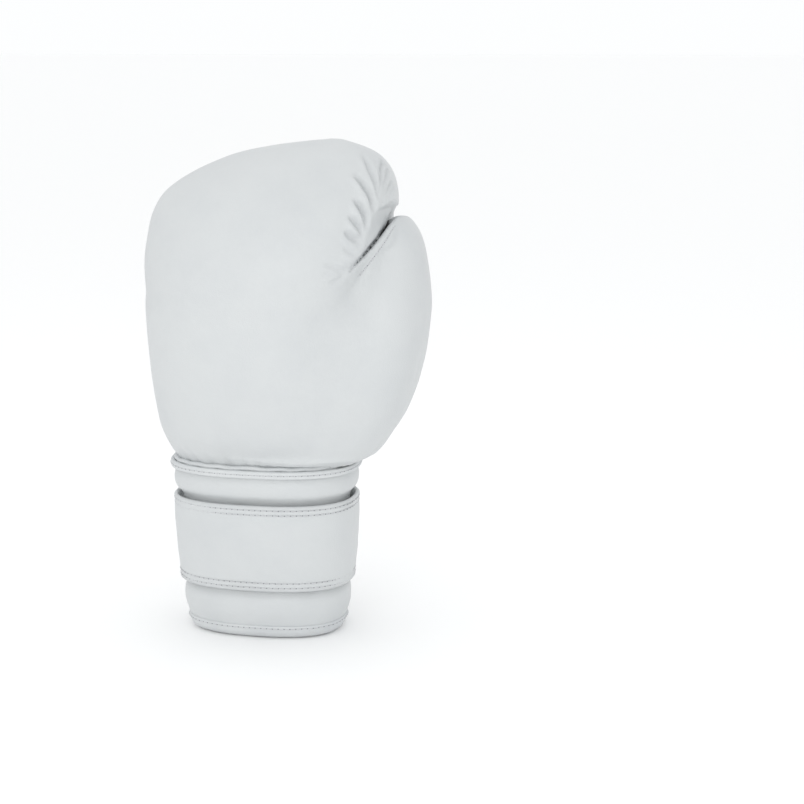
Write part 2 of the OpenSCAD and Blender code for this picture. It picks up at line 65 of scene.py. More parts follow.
shellLow, shellHigh = nodeBox("mitt_shell")
_, thumbHigh = nodeBox("thumb_shell")
cuffLow, cuffHigh = nodeBox("cuff_shell", "cuff_binding")
strapLow, strapHigh = nodeBox("strap_root_cover")
flapLow, flapHigh = nodeBox("thumb_flap_binding")
heelFlapLow, heelFlapHigh = nodeBox("heel_flap_binding")
_, archHigh = nodeBox("patch_arch")
gripLow, gripHigh = nodeBox("grip_bar")

wristZ = shellLow[2]
gloveTop = shellHigh[2]
mittShift = 3.0  # the mitt stands this far towards the thumb from the cuff's middle
halfMitt = mittShift - shellLow[0]
backReach = -shellLow[1]
rollReach = shellHigh[1]
thumbReach = thumbHigh[0]
thumbTop = thumbHigh[2]
cuffHalfW = cuffHigh[0]
cuffHalfD = -cuffLow[1]
strapZ = strapLow[2]
strapTopZ = strapHigh[2]
slitX = (flapLow[0] + heelFlapHigh[0]) / 2
slitHalf = (flapLow[0] - heelFlapHigh[0]) / 2
thumbHingeX = flapHigh[0]
heelHingeX = heelFlapLow[0]
archTop = archHigh[2]
print("sizes read: glove", round(gloveTop), "mm tall, strap", round(strapTopZ - strapZ), "mm wide")


# small geometry tools

def smoothStep(low, high, value):
    t = np.clip((value - low) / (high - low), 0, 1)
    return t * t * (3 - 2 * t)


def catmull(points, steps):
    # a smooth curve through the points
    p = np.array(points, float)
    p = np.vstack([2 * p[0] - p[1], p, 2 * p[-1] - p[-2]])
    rows = []
    for i in range(1, len(p) - 2):
        t = np.linspace(0, 1, steps, endpoint=False)[:, None]
        a, b, c, d = p[i - 1], p[i], p[i + 1], p[i + 2]
        rows.append(0.5 * (2 * b + (c - a) * t + (2 * a - 5 * b + 4 * c - d) * t ** 2
                           + (3 * b - a - 3 * c + d) * t ** 3))
    return np.vstack(rows + [p[-2][None]])


def lengthAlong(path):
    return np.r_[0, np.cumsum(np.linalg.norm(np.diff(path, axis=0), axis=1))]


def evenPoints(path, count):
    run = lengthAlong(path)
    s = np.linspace(0, run[-1], count)
    return np.stack([np.interp(s, run, path[:, k]) for k in range(path.shape[1])], axis=1)


def evenSteps(path, step):
    return evenPoints(path, max(2, int(round(lengthAlong(path)[-1] / step)) + 1))


def curve(points, step=1.0):
    return evenSteps(catmull(points, 16), step)


def unit(v):
    return v / np.maximum(np.linalg.norm(v, axis=-1, keepdims=True), 1e-9)


def makeObject(name, verts, faces, material):
    mesh = bpy.data.meshes.new(name)
    mesh.from_pydata((np.asarray(verts) * mm).tolist(), [], [tuple(int(i) for i in f) for f in faces])
    mesh.validate()
    mesh.update()
    mesh.polygons.foreach_set("use_smooth", [True] * len(mesh.polygons))
    obj = bpy.data.objects.new(name, mesh)
    bpy.context.scene.collection.objects.link(obj)
    obj.data.materials.append(material)
    return obj


def gridFaces(rows, columns, wrapRows=False, wrapColumns=False):
    r, c = np.meshgrid(np.arange(rows if wrapRows else rows - 1),
                       np.arange(columns if wrapColumns else columns - 1), indexing="ij")
    r, c = r.ravel(), c.ravel()
    s, d = (r + 1) % rows, (c + 1) % columns
    return np.stack([r * columns + c, r * columns + d, s * columns + d, s * columns + c], axis=1)


def sweepObject(name, grid, material, capped=True):
    # grid[i][j]: station i along the piece, point j round its closed section
    rows, columns, _ = grid.shape
    verts = grid.reshape(-1, 3)
    faces = gridFaces(rows, columns, wrapColumns=True).tolist()
    if capped:
        for row, flip in ((0, False), (rows - 1, True)):
            start = len(verts)
            verts = np.vstack([verts, grid[row]])
            cap = list(range(start, start + columns))
            faces.append(cap if flip else cap[::-1])
    obj = makeObject(name, verts, faces, material)
    mend = bmesh.new()
    mend.from_mesh(obj.data)
    volume = mend.calc_volume(signed=True)
    if volume < 0:
        bmesh.ops.reverse_faces(mend, faces=mend.faces)
        mend.to_mesh(obj.data)
    mend.free()
    return obj


def tube(name, path, outward, section, material, closed=False):
    # section: points (across, out) round the path; outward: the direction of "out" at each point
    if closed:
        along = unit(np.roll(path, -1, axis=0) - np.roll(path, 1, axis=0))
    else:
        along = unit(np.gradient(path, axis=0))
    out = unit(outward - (outward * along).sum(axis=1, keepdims=True) * along)
    across = np.cross(along, out)
    section = np.asarray(section, float)
    aside, off = section[None, :, 0, None], section[None, :, 1, None]
    grid = path[:, None] + aside * across[:, None] + off * out[:, None]
    if closed:
        rows, columns, _ = grid.shape
        return makeObject(name, grid.reshape(-1, 3), gridFaces(rows, columns, True, True), material)
    return sweepObject(name, grid, material)


def turnAngles(count):
    return np.linspace(0, 2 * np.pi, count, endpoint=False)


def ovalTurn(angle, power):
    # a rounded rectangle's two coordinates at an angle in radians, each -1 to 1
    c, s = np.cos(angle), np.sin(angle)
    k = 2 / power
    return np.sign(c) * np.abs(c) ** k, np.sign(s) * np.abs(s) ** k


def roundSection(acrossHalf, outHalf, outAt, power, count):
    across, out = ovalTurn(turnAngles(count), power)
    return np.stack([acrossHalf * across, outAt + outHalf * out], axis=1)


def joinInto(first, *others):
    bpy.ops.object.select_all(action="DESELECT")
    for obj in (first, *others):
        obj.select_set(True)
    bpy.context.view_layer.objects.active = first
    bpy.ops.object.join()
    return first


def noise(points, scale, seed):
    # smooth waves in all directions, about -1 to 1
    draw = np.random.default_rng(seed)
    total = np.zeros(len(points))
    for _ in range(10):
        way = draw.normal(size=3)
        way = way / np.linalg.norm(way) * draw.uniform(0.6, 1.4) * 2 * np.pi / scale
        total += np.sin(points @ way + draw.uniform(0, 2 * np.pi))
    return total / 4.5


# the finish of each material

def newGroup(name, inputs, outputs):
    group = bpy.data.node_groups.new(name, "ShaderNodeTree")
    for label, kind, value in inputs:
        socket = group.interface.new_socket(name=label, in_out="INPUT", socket_type="NodeSocket" + kind)
        if value is not None:
            socket.default_value = value
    for label, kind in outputs:
        group.interface.new_socket(name=label, in_out="OUTPUT", socket_type="NodeSocket" + kind)
    return group, group.nodes.new("NodeGroupInput"), group.nodes.new("NodeGroupOutput")


def addNode(tree, kind, links=(), **settings):
    node = tree.nodes.new(kind)
    for key, value in settings.items():
        setattr(node, key, value)
    for socket, source in links:
        if isinstance(source, bpy.types.NodeSocket):
            tree.links.new(source, node.inputs[socket])
        else:
            node.inputs[socket].default_value = source
    return node


def mathNode(tree, operation, *sources):
    return addNode(tree, "ShaderNodeMath", enumerate(sources), operation=operation).outputs[0]


def leatherGrainGroup():
    # fine pores, soft ripples and a faint uneven tone
    group, start, end = newGroup("leatherGrain", [
        ("Pore Size", "Float", 1.0), ("Pore Depth", "Float", 0.3), ("Ripple Size", "Float", 1.0),
        ("Ripple Depth", "Float", 0.4), ("Tone", "Color", (0.8, 0.8, 0.8, 1)),
        ("Shade", "Color", (0.7, 0.7, 0.72, 1)), ("Gloss", "Float", 0.4)],
        [("Color", "Color"), ("Roughness", "Float"), ("Height", "Float")])
    given = start.outputs
    place = ("Vector", addNode(group, "ShaderNodeTexCoord").outputs["Object"])
    poreScale = mathNode(group, "MULTIPLY", given["Pore Size"], 1500.0)
    rippleScale = mathNode(group, "MULTIPLY", given["Ripple Size"], 95.0)
    pores = addNode(group, "ShaderNodeTexVoronoi", [place, ("Scale", poreScale)])
    ripples = addNode(group, "ShaderNodeTexNoise", [
        place, ("Scale", rippleScale), ("Detail", 5.0), ("Roughness", 0.55), ("Distortion", 0.6)])
    fine = addNode(group, "ShaderNodeTexNoise", [place, ("Scale", 620.0), ("Detail", 3.0)])
    blots = addNode(group, "ShaderNodeTexNoise", [
        place, ("Scale", 28.0), ("Detail", 6.0), ("Roughness", 0.6)])
    blotRange = addNode(group, "ShaderNodeMapRange", [
        ("Value", blots.outputs["Fac"]), ("From Min", 0.42), ("From Max", 0.72)])
    color = addNode(group, "ShaderNodeMix", [
        (0, blotRange.outputs[0]), (6, given["Tone"]), (7, given["Shade"])], data_type="RGBA")
    poreHeight = mathNode(group, "MULTIPLY", pores.outputs["Distance"], given["Pore Depth"])
    rippleHeight = mathNode(group, "MULTIPLY", ripples.outputs["Fac"], given["Ripple Depth"])
    fineHeight = mathNode(group, "MULTIPLY_ADD", fine.outputs["Fac"], 0.16, poreHeight)
    height = mathNode(group, "ADD", fineHeight, rippleHeight)
    rough = mathNode(group, "MULTIPLY_ADD", fine.outputs["Fac"], 0.14, given["Gloss"])
    for label, source in (("Color", color.outputs[2]), ("Roughness", rough), ("Height", height)):
        group.links.new(source, end.inputs[label])
    return group


def clothWeaveGroup():
    # threads that cross, with fibres of uneven tone
    group, start, end = newGroup("clothWeave", [
        ("Thread Scale", "Float", 1.0), ("Depth", "Float", 1.0), ("Tone", "Color", (0.1, 0.1, 0.1, 1)),
        ("Shade", "Color", (0.05, 0.05, 0.05, 1))],
        [("Color", "Color"), ("Height", "Float")])
    given = start.outputs
    place = ("Vector", addNode(group, "ShaderNodeTexCoord").outputs["Object"])
    scale = mathNode(group, "MULTIPLY", given["Thread Scale"], 900.0)
    waves = [addNode(group, "ShaderNodeTexWave", [
        place, ("Scale", scale), ("Distortion", 0.8), ("Detail", 2.0)], bands_direction=way).outputs["Fac"]
        for way in ("Z", "DIAGONAL")]
    both = mathNode(group, "MULTIPLY", *waves)
    fibres = addNode(group, "ShaderNodeTexNoise", [place, ("Scale", 1400.0), ("Detail", 3.0)])
    mixed = mathNode(group, "MULTIPLY_ADD", fibres.outputs["Fac"], 0.5, both)
    color = addNode(group, "ShaderNodeMix", [
        (0, mixed), (6, given["Shade"]), (7, given["Tone"])], data_type="RGBA")
    group.links.new(color.outputs[2], end.inputs["Color"])
    group.links.new(mathNode(group, "MULTIPLY", mixed, given["Depth"]), end.inputs["Height"])
    return group


leatherGrain = leatherGrainGroup()
clothWeave = clothWeaveGroup()


def newMaterial(name):
    material = bpy.data.materials.new(name)
    material.use_nodes = True
    return material, material.node_tree, material.node_tree.nodes["Principled BSDF"]


def leatherMaterial(name, tone, shade, gloss, pores=0.25, ripples=0.5, rippleSize=1.0):
    material, tree, shader = newMaterial(name)
    grain = addNode(tree, "ShaderNodeGroup", node_tree=leatherGrain)
    for label, value in (("Tone", (*tone, 1)), ("Shade", (*shade, 1)), ("Gloss", gloss),
                         ("Pore Depth", pores), ("Ripple Depth", ripples), ("Ripple Size", rippleSize)):
        grain.inputs[label].default_value = value
    bump = addNode(tree, "ShaderNodeBump", [("Height", grain.outputs["Height"]), ("Strength", 0.35),
                                            ("Distance", 0.0006)])
    for label, source in (("Base Color", grain.outputs["Color"]), ("Roughness", grain.outputs["Roughness"]),
                          ("Normal", bump.outputs["Normal"])):
        tree.links.new(source, shader.inputs[label])
    shader.inputs["Specular IOR Level"].default_value = 0.42
    return material


def clothMaterial(name, tone, shade, roughness, threads=1.0, depth=1.0, sheen=0.2):
    material, tree, shader = newMaterial(name)
    weave = addNode(tree, "ShaderNodeGroup", node_tree=clothWeave)
    for label, value in (("Tone", (*tone, 1)), ("Shade", (*shade, 1)), ("Thread Scale", threads),
                         ("Depth", depth)):
        weave.inputs[label].default_value = value
    bump = addNode(tree, "ShaderNodeBump", [("Height", weave.outputs["Height"]), ("Strength", 0.5),
                                            ("Distance", 0.0004)])
    tree.links.new(weave.outputs["Color"], shader.inputs["Base Color"])
    tree.links.new(bump.outputs["Normal"], shader.inputs["Normal"])
    shader.inputs["Roughness"].default_value = roughness
    shader.inputs["Sheen Weight"].default_value = sheen
    return material


whiteLeather = leatherMaterial("whiteLeather", (0.575, 0.592, 0.598), (0.55, 0.568, 0.578), 0.36)
foldedLeather = leatherMaterial("foldedLeather", (0.60, 0.617, 0.623), (0.54, 0.56, 0.575), 0.38,
                                ripples=0.8, rippleSize=1.8)
blackLining = clothMaterial("blackLining", (0.035, 0.035, 0.038), (0.012, 0.012, 0.013), 0.9)
greyMesh = clothMaterial("greyMesh", (0.30, 0.31, 0.33), (0.16, 0.165, 0.18), 0.85, 0.7, 1.2)
loopPile = clothMaterial("loopPile", (0.74, 0.75, 0.76), (0.5, 0.51, 0.52), 0.95, 0.8, 1.6, 0.5)
hookTape = clothMaterial("hookTape", (0.70, 0.71, 0.72), (0.42, 0.43, 0.44), 0.6, 0.5, 2.2, 0.0)
whiteThread = clothMaterial("whiteThread", (0.72, 0.73, 0.74), (0.5, 0.51, 0.53), 0.7, 3.0, 0.6)
# needleShade: painted shade of the needle holes, put on small dark beads
needleShade = clothMaterial("needleShade", (0.30, 0.31, 0.33), (0.2, 0.2, 0.22), 0.9)
print("materials made")


# the mitt's and thumb's outer shape, as distances

ovalPower = 2.5
mittH = gloveTop - wristZ
palmReach = 0.55 * rollReach
rollZ = wristZ + 0.516 * mittH   # lower edge of the finger roll
domeH = gloveTop - rollZ
seamHalfW = cuffHalfW - 3.5
seamHalfD = cuffHalfD - 3
lean = 4.0 + mittShift           # how far the knuckles lean towards the thumb


def mittStation(z, fingerShare, thumbEdgeX, back, palm):
    return z, mittShift - fingerShare * halfMitt, thumbEdgeX, back, palm


# height, little-finger edge, thumb-side edge, back, palm
mittSections = [
    (wristZ - 5, -seamHalfW, seamHalfW, -seamHalfD, seamHalfD),
    (wristZ, -seamHalfW, seamHalfW, -seamHalfD, seamHalfD),
    mittStation(wristZ + 8, 0.82, mittShift + 0.77 * halfMitt, -0.72 * backReach, palmReach + 1.5),
    mittStation(wristZ + 22, 0.88, mittShift + 0.81 * halfMitt, -0.86 * backReach, palmReach + 1),
    mittStation(wristZ + 0.27 * mittH, 0.92, mittShift + 0.83 * halfMitt, -0.97 * backReach, palmReach),
    mittStation(rollZ - 6, 0.95, mittShift + 0.83 * halfMitt, -backReach, palmReach - 2),
    mittStation(rollZ + 4, 0.965, mittShift + 0.87 * halfMitt, -backReach, 0.76 * rollReach),
    mittStation(rollZ + 0.31 * domeH, 1, 0.93 * halfMitt + lean, -0.97 * backReach, rollReach),
    mittStation(rollZ + 0.65 * domeH, 0.87, 0.99 * halfMitt + lean, -0.77 * backReach, 0.94 * rollReach),
    mittStation(rollZ + 0.88 * domeH, 0.36, 0.87 * halfMitt + lean, -0.39 * backReach, 0.66 * rollReach),
    mittStation(gloveTop, -0.36, 0.60 * halfMitt + lean, 0.0, 0.28 * rollReach),
]
thumbZ = wristZ + 4
thumbH = thumbTop - thumbZ
thumbBack = 38.0                 # how far the thumb's root stands off towards the back
thumbSections = [
    (thumbZ - 2, seamHalfW - 18, seamHalfW + 5, -18, 26),
    (thumbZ + 6, seamHalfW - 18, 0.75 * thumbReach, -thumbBack + 8, 32),
    (thumbZ + 0.27 * thumbH, seamHalfW - 14, 0.92 * thumbReach, -thumbBack, 36),
    (thumbZ + 0.58 * thumbH, seamHalfW - 8, thumbReach, -thumbBack + 2, 38),
    (thumbZ + 0.83 * thumbH, seamHalfW - 4, 0.96 * thumbReach, -0.6 * thumbBack, 36),
    (thumbZ + 0.95 * thumbH, seamHalfW + 4, 0.88 * thumbReach, -0.22 * thumbBack, 30),
    (thumbTop, 0.71 * thumbReach, 0.77 * thumbReach, 4, 18),
]


def sectionTable(sections, smoothing=14):
    rows = evenSteps(catmull(sections, 12), 1.0)
    for _ in range(smoothing):
        rows[1:-1] = (rows[:-2] + 2 * rows[1:-1] + rows[2:]) / 4
    return rows


mittTable = sectionTable(mittSections)
thumbTable = sectionTable(thumbSections)


def ovalRadius(table, x, y, z):
    # 1 on the outline at that height, more outside it
    left, right, back, palm = (np.interp(z, table[:, 0], table[:, k]) for k in (1, 2, 3, 4))
    u = np.abs(x - (left + right) / 2) / np.maximum((right - left) / 2, 0.5)
    v = np.abs(y - (back + palm) / 2) / np.maximum((palm - back) / 2, 0.5)
    return (u ** ovalPower + v ** ovalPower) ** (1 / ovalPower)


def softMax(a, b, rounding):
    return (a + b + np.sqrt((a - b) ** 2 + rounding ** 2)) / 2


def loftDistance(table, x, y, z, topRound=5.0, footRound=0.0):
    # about the distance to the lofted shape, in millimetres, negative inside
    h = 0.5
    f = ovalRadius(table, x, y, z)
    flat = np.hypot(ovalRadius(table, x + h, y, z) - f, ovalRadius(table, x, y + h, z) - f) / h
    rise = np.abs(ovalRadius(table, x, y, z + h) - f) / h
    slope = np.hypot(flat, np.minimum(rise, 2 * flat))  # far from a rounded tip only the flat part counts
    d = (f - 1) / np.maximum(slope, 0.004)
    return softMax(softMax(d, z - table[-1, 0], topRound), table[0, 0] - z, footRound)


crease = {
    "lowZ": 207.0,       # where the hollow between mitt and thumb turns into a crease
    # z and x along it
    "path": [(200, 52), (211, 55), (219, 60), (227, 65.5), (236, 71), (245, 74.5), (252, 77), (262, 79)],
    # z and its half width, below nothing where it's closed
    "half": [(212, -3.0), (219, -0.5), (227, 0.0), (236, 0.4), (245, 2.2), (251, 3.2), (258, -3.0)],
    "lip": 2.3,          # how far the leather's edges round over into it
    "lipDepth": 2.6,
    "depth": 12.0,
    "softLow": 26.0,     # how widely mitt and thumb flow together below it
    "softHigh": 5.0,
    "softPalm": 8.0,
}
creasePath = np.array(crease["path"], float)
creaseHalf = np.array(crease["half"], float)


def skinDistance(x, y, z):
    m = loftDistance(mittTable, x, y, z)
    t = loftDistance(thumbTable, x, y, z, footRound=10.0)
    soft = crease["softLow"] + (crease["softHigh"] - crease["softLow"]) * smoothStep(
        crease["lowZ"] - 26, crease["lowZ"] + 8, z)
    soft = soft + (crease["softPalm"] - soft) * smoothStep(-8, 14, y)
    h = np.clip(0.5 + 0.5 * (t - m) / soft, 0, 1)
    d = t + (m - t) * h - soft * h * (1 - h)
    # on the back the crease keeps to its own line, on the palm side to where mitt and thumb touch
    onBackSide = 1 - smoothStep(0, 14, y)
    aside = onBackSide * (np.interp(z, *creasePath.T) - x) + (1 - onBackSide) * 0.7 * (t - m)
    half = np.interp(z, *creaseHalf.T)
    lip = crease["lip"] * np.exp(np.minimum(d, 0) / crease["lipDepth"]) * smoothStep(-1.5, 0.3, half)
    gap = np.minimum(half + lip - np.abs(aside), d + crease["depth"])
    return np.maximum(d, gap), aside, d


def surfaceNet(field, low, step):
    # one point in each cell that the surface passes through, joined across the cell faces
    inside = field < 0
    corner = [(i, j, k) for i in (0, 1) for j in (0, 1) for k in (0, 1)]
    n = [s - 1 for s in field.shape]

    def shifted(a, c):
        return a[c[0]:c[0] + n[0], c[1]:c[1] + n[1], c[2]:c[2] + n[2]]

    count = sum(shifted(inside, c).astype(np.int8) for c in corner)
    cells = np.argwhere((count > 0) & (count < 8))
    values = {c: field[cells[:, 0] + c[0], cells[:, 1] + c[1], cells[:, 2] + c[2]] for c in corner}
    total = np.zeros((len(cells), 3))
    hits = np.zeros(len(cells))
    for a in corner:
        for axis in range(3):
            if a[axis]:
                continue
            b = tuple(v + (1 if q == axis else 0) for q, v in enumerate(a))
            crosses = (values[a] < 0) != (values[b] < 0)
            t = np.where(crosses, values[a] / np.where(crosses, values[a] - values[b], 1), 0)
            point = np.tile(np.array(a, float), (len(cells), 1))
            point[:, axis] += t
            total += point * crosses[:, None]
            hits += crosses
    verts = (cells + total / hits[:, None]) * step + low
    index = np.full(n, -1)
    index[cells[:, 0], cells[:, 1], cells[:, 2]] = np.arange(len(cells))
    faces = []
    for axis in range(3):
        u, v = (axis + 1) % 3, (axis + 2) % 3
        first = [slice(1, -1)] * 3
        second = [slice(1, -1)] * 3
        first[axis] = slice(0, -1)
        second[axis] = slice(1, None)
        start, end = inside[tuple(first)], inside[tuple(second)]
        at = np.argwhere(start != end)
        offset = np.ones(3, int)
        offset[axis] = 0
        at = at + offset
        turned = inside[at[:, 0], at[:, 1], at[:, 2]]
        quad = []
        for du, dv in ((0, 0), (-1, 0), (-1, -1), (0, -1)):
            q = at.copy()
            q[:, u] += du
            q[:, v] += dv
            quad.append(index[q[:, 0], q[:, 1], q[:, 2]])
        quad = np.stack(quad, axis=1)
        quad[turned] = quad[turned][:, ::-1]
        faces.append(quad[:, ::-1])
    faces = np.vstack(faces)
    return verts, faces[(faces >= 0).all(axis=1)]


def pullToSkin(points, rounds=2):
    h = 0.25
    for _ in range(rounds):
        x, y, z = points.T
        d = skinDistance(x, y, z)[0]
        g = np.stack([skinDistance(x + h, y, z)[0] - skinDistance(x - h, y, z)[0],
                      skinDistance(x, y + h, z)[0] - skinDistance(x, y - h, z)[0],
                      skinDistance(x, y, z + h)[0] - skinDistance(x, y, z - h)[0]], axis=1) / (2 * h)
        length = (g ** 2).sum(axis=1)
        move = g * (d / np.maximum(length, 0.3))[:, None]
        far = np.linalg.norm(move, axis=1)
        points = points - move * np.minimum(1, 0.8 / np.maximum(far, 1e-9))[:, None]
    return points


def relax(points, faces, rounds, share=0.5):
    a = np.concatenate([faces[:, k] for k in range(4)])
    b = np.concatenate([faces[:, (k + 1) % 4] for k in range(4)])
    both = np.concatenate([a, b])
    other = np.concatenate([b, a])
    degree = np.bincount(both, minlength=len(points)).astype(float)
    for _ in range(rounds):
        mean = np.stack([np.bincount(both, weights=points[other, k], minlength=len(points))
                         for k in range(3)], axis=1) / np.maximum(degree, 1)[:, None]
        points = points + share * (mean - points)
    return points


skin = {
    "step": 1.1,
    "margin": 6.0,
    "leather": 1.3,
}
low = np.array([shellLow[0], shellLow[1], wristZ - 6]) - skin["margin"]
high = np.array([thumbReach, rollReach, gloveTop]) + skin["margin"]
axes = [np.arange(low[k], high[k], skin["step"]) for k in range(3)]
gx, gy, gz = np.meshgrid(*axes, indexing="ij")
field = skinDistance(gx, gy, gz)[0]
skinVerts, skinFaces = surfaceNet(field, low, skin["step"])
skinVerts = relax(skinVerts, skinFaces, 5)
skinVerts = pullToSkin(skinVerts, 2)
skinVerts = relax(skinVerts, skinFaces, 2, 0.3)
print("skin:", len(skinVerts), "points,", len(skinFaces), "faces")


def meshTree(points, faces):
    return BVHTree.FromPolygons([tuple(p) for p in points.tolist()], faces.tolist())


rayStart = 120.0                 # clear of the glove, towards the back or the palm


def castOnto(tree, points, way):
    # drops points along `way` onto the surface; keeps those that miss
    found, normals = [], []
    for p in np.asarray(points, float).tolist():
        hit, normal, _, _ = tree.ray_cast(Vector(p), Vector(way))
        found.append(tuple(hit) if hit is not None else tuple(p))
        normals.append(tuple(normal) if hit is not None else tuple(-np.array(way)))
    return np.array(found), np.array(normals)


def nearestOn(tree, points):
    found, normals = [], []
    for p in np.asarray(points, float).tolist():
        hit, normal, _, _ = tree.find_nearest(Vector(p))
        found.append(tuple(hit))
        normals.append(tuple(normal))
    return np.array(found), np.array(normals)


def vertexNormals(points, faces):
    a, b, c, d = (points[faces[:, k]] for k in range(4))
    n = np.cross(c - a, d - b)
    total = np.stack([sum(np.bincount(faces[:, k], weights=n[:, q], minlength=len(points)) for k in range(4))
                      for q in range(3)], axis=1)
    return unit(total)


plainTree = meshTree(skinVerts, skinFaces)


def layOnSkin(points, side, step=1.0):
    # a curve given by x and z, laid on the skin of the back of the hand (side -1) or the palm (1)
    flat = curve(points, step)
    start = np.stack([flat[:, 0], np.full(len(flat), side * rayStart), flat[:, 1]], axis=1)
    return castOnto(plainTree, start, (0, -side, 0))[0]


def pathDistance(points, path):
    # distance to the nearest place on the path, and how far along it that is, 0 to 1
    best = np.full(len(points), 1e9)
    share = np.zeros(len(points))
    lowCorner, highCorner = path.min(axis=0) - 14, path.max(axis=0) + 14
    near = ((points > lowCorner) & (points < highCorner)).all(axis=1)
    if not near.any():
        return best, share
    p = points[near]
    d = np.full(len(p), 1e9)
    s = np.zeros(len(p))
    for i in range(len(path)):
        q = np.linalg.norm(p - path[i], axis=1)
        closer = q < d
        d[closer] = q[closer]
        s[closer] = i / (len(path) - 1)
    best[near], share[near] = d, s
    return best, share


# folds of the leather: where each runs (x, z on the back of the hand), its depth and half width
folds = [
    ([(59, 273), (64, 267.5), (68.5, 260.5), (70.5, 254)], 3.6, 1.7),
    ([(61, 260), (64.7, 255), (67, 249), (67.5, 244)], 3.2, 1.6),
    ([(59.5, 250), (62.8, 246.5), (64.8, 242.5), (66, 239.5)], 2.4, 1.5),
    ([(58, 242), (61.6, 238), (65, 235.5)], 2.2, 1.5),
    ([(57, 232), (60, 230.5), (63, 228)], 1.0, 1.4),
    ([(48, 224), (53, 222), (58, 220)], 1.2, 1.3),
    ([(46, 218.5), (52, 218.5), (58, 219)], 1.0, 1.3),
    ([(50, 212), (55, 215), (59, 218)], 0.9, 1.3),
    ([(60, 283), (65, 276), (69.7, 267), (71.5, 259)], 2.4, 1.5),
    ([(65, 283.5), (69.7, 276.5), (72, 267), (72.5, 258)], 2.0, 1.3),
    ([(68.5, 280), (72.5, 272), (73.6, 265), (73.4, 257)], 1.7, 1.2),
    ([(73, 275), (75, 268), (75, 262), (74, 256)], 1.5, 1.2),
    ([(75.6, 270), (76, 263), (75.5, 257)], 1.2, 1.2),
    ([(76, 229), (79, 234), (80, 240)], 0.8, 1.5),
]

# seams that draw the leather in, on the palm side
seams = {
    "heelSeam": layOnSkin([(-66, 204), (-56, 203), (-46, 197), (-38, 184), (-32, 166), (-28.5, 145),
                           (-28, 106)], 1),
    "thumbSeam": layOnSkin([(40, 203), (34.5, 176), (38, 152), (46, 130), (53, 112)], 1),
}
skinNormals = vertexNormals(skinVerts, skinFaces)
push = np.zeros(len(skinVerts))
for points, depth, halfWidth in folds:
    d, s = pathDistance(skinVerts, layOnSkin(points, -1, 0.8))
    fade = smoothStep(0, 0.3, s) * (1 - 0.6 * smoothStep(0.8, 1.0, s))
    push -= depth * fade * np.exp(-(d / halfWidth) ** 1.6)
    push += 0.4 * depth * fade * np.exp(-((d - 2.3 * halfWidth) / (1.3 * halfWidth)) ** 2)
# the mitt's edge swells beside the crease
creaseLine = layOnSkin([(x, z) for z, x in crease["path"][2:6]], -1)
d, _ = pathDistance(skinVerts, creaseLine)
onMitt = smoothStep(0, 2, skinDistance(*skinVerts.T)[1]) * smoothStep(218, 228, skinVerts[:, 2])
push += 1.4 * onMitt * np.exp(-((d - 6) / 3.6) ** 2)
for path in seams.values():
    d, _ = pathDistance(skinVerts, path)
    push -= 0.9 * np.exp(-(d / 1.6) ** 2)
    push += 0.5 * np.exp(-((d - 6) / 4.5) ** 2)
# the stitched edge of the thumb's leather, beside the crease
thumbEdge = layOnSkin([(64.4, 215.7), (69.9, 223.7), (75.4, 232.7), (79.5, 241.7)], -1)
d, _ = pathDistance(skinVerts, thumbEdge)
push -= 0.55 * np.exp(-(d / 1.2) ** 2)
# the wrist seam gathers the leather into short upright puckers
pucker = np.exp(-((skinVerts[:, 2] - wristZ - 3) / 7) ** 2)
angle = np.arctan2(skinVerts[:, 1], skinVerts[:, 0])
push += pucker * 0.30 * np.sin(31 * angle + 2 * np.sin(5 * angle)) * (0.6 + 0.4 * np.sin(3 * angle + 1))
# slow unevenness of the stuffed leather
push += 0.35 * noise(skinVerts, 52, 3) + 0.12 * noise(skinVerts, 17, 4)
skinVerts = skinVerts + skinNormals * push[:, None]
skinVerts = relax(skinVerts, skinFaces, 1, 0.35)
skinNormals = vertexNormals(skinVerts, skinFaces)
skinTree = meshTree(skinVerts, skinFaces)
print("folds pressed in")

# the leather is cut into panels
centre = skinVerts[skinFaces].mean(axis=1)
_, nextTo, under = skinDistance(*centre.T)
# faces deep in the crease, painted dark below: painted shade
creaseShadeFaces = under < -crease["depth"] * 0.6
inThumb = (nextTo < 0) & (centre[:, 0] > 30)
inSlit = np.abs(centre[:, 0] - slitX) < slitHalf + 0.6
inSlit &= (centre[:, 1] > 10) & (centre[:, 2] < archTop - 18)
underWrist = centre[:, 2] < wristZ - 0.2
onPalmSide = (centre[:, 1] > 12) & (centre[:, 2] < archTop - 20)
heelPalm = onPalmSide & (centre[:, 0] > heelHingeX) & (centre[:, 0] < slitX)
thumbPalm = onPalmSide & (centre[:, 0] < thumbHingeX) & (centre[:, 0] > slitX)
kept = ~inSlit & ~underWrist


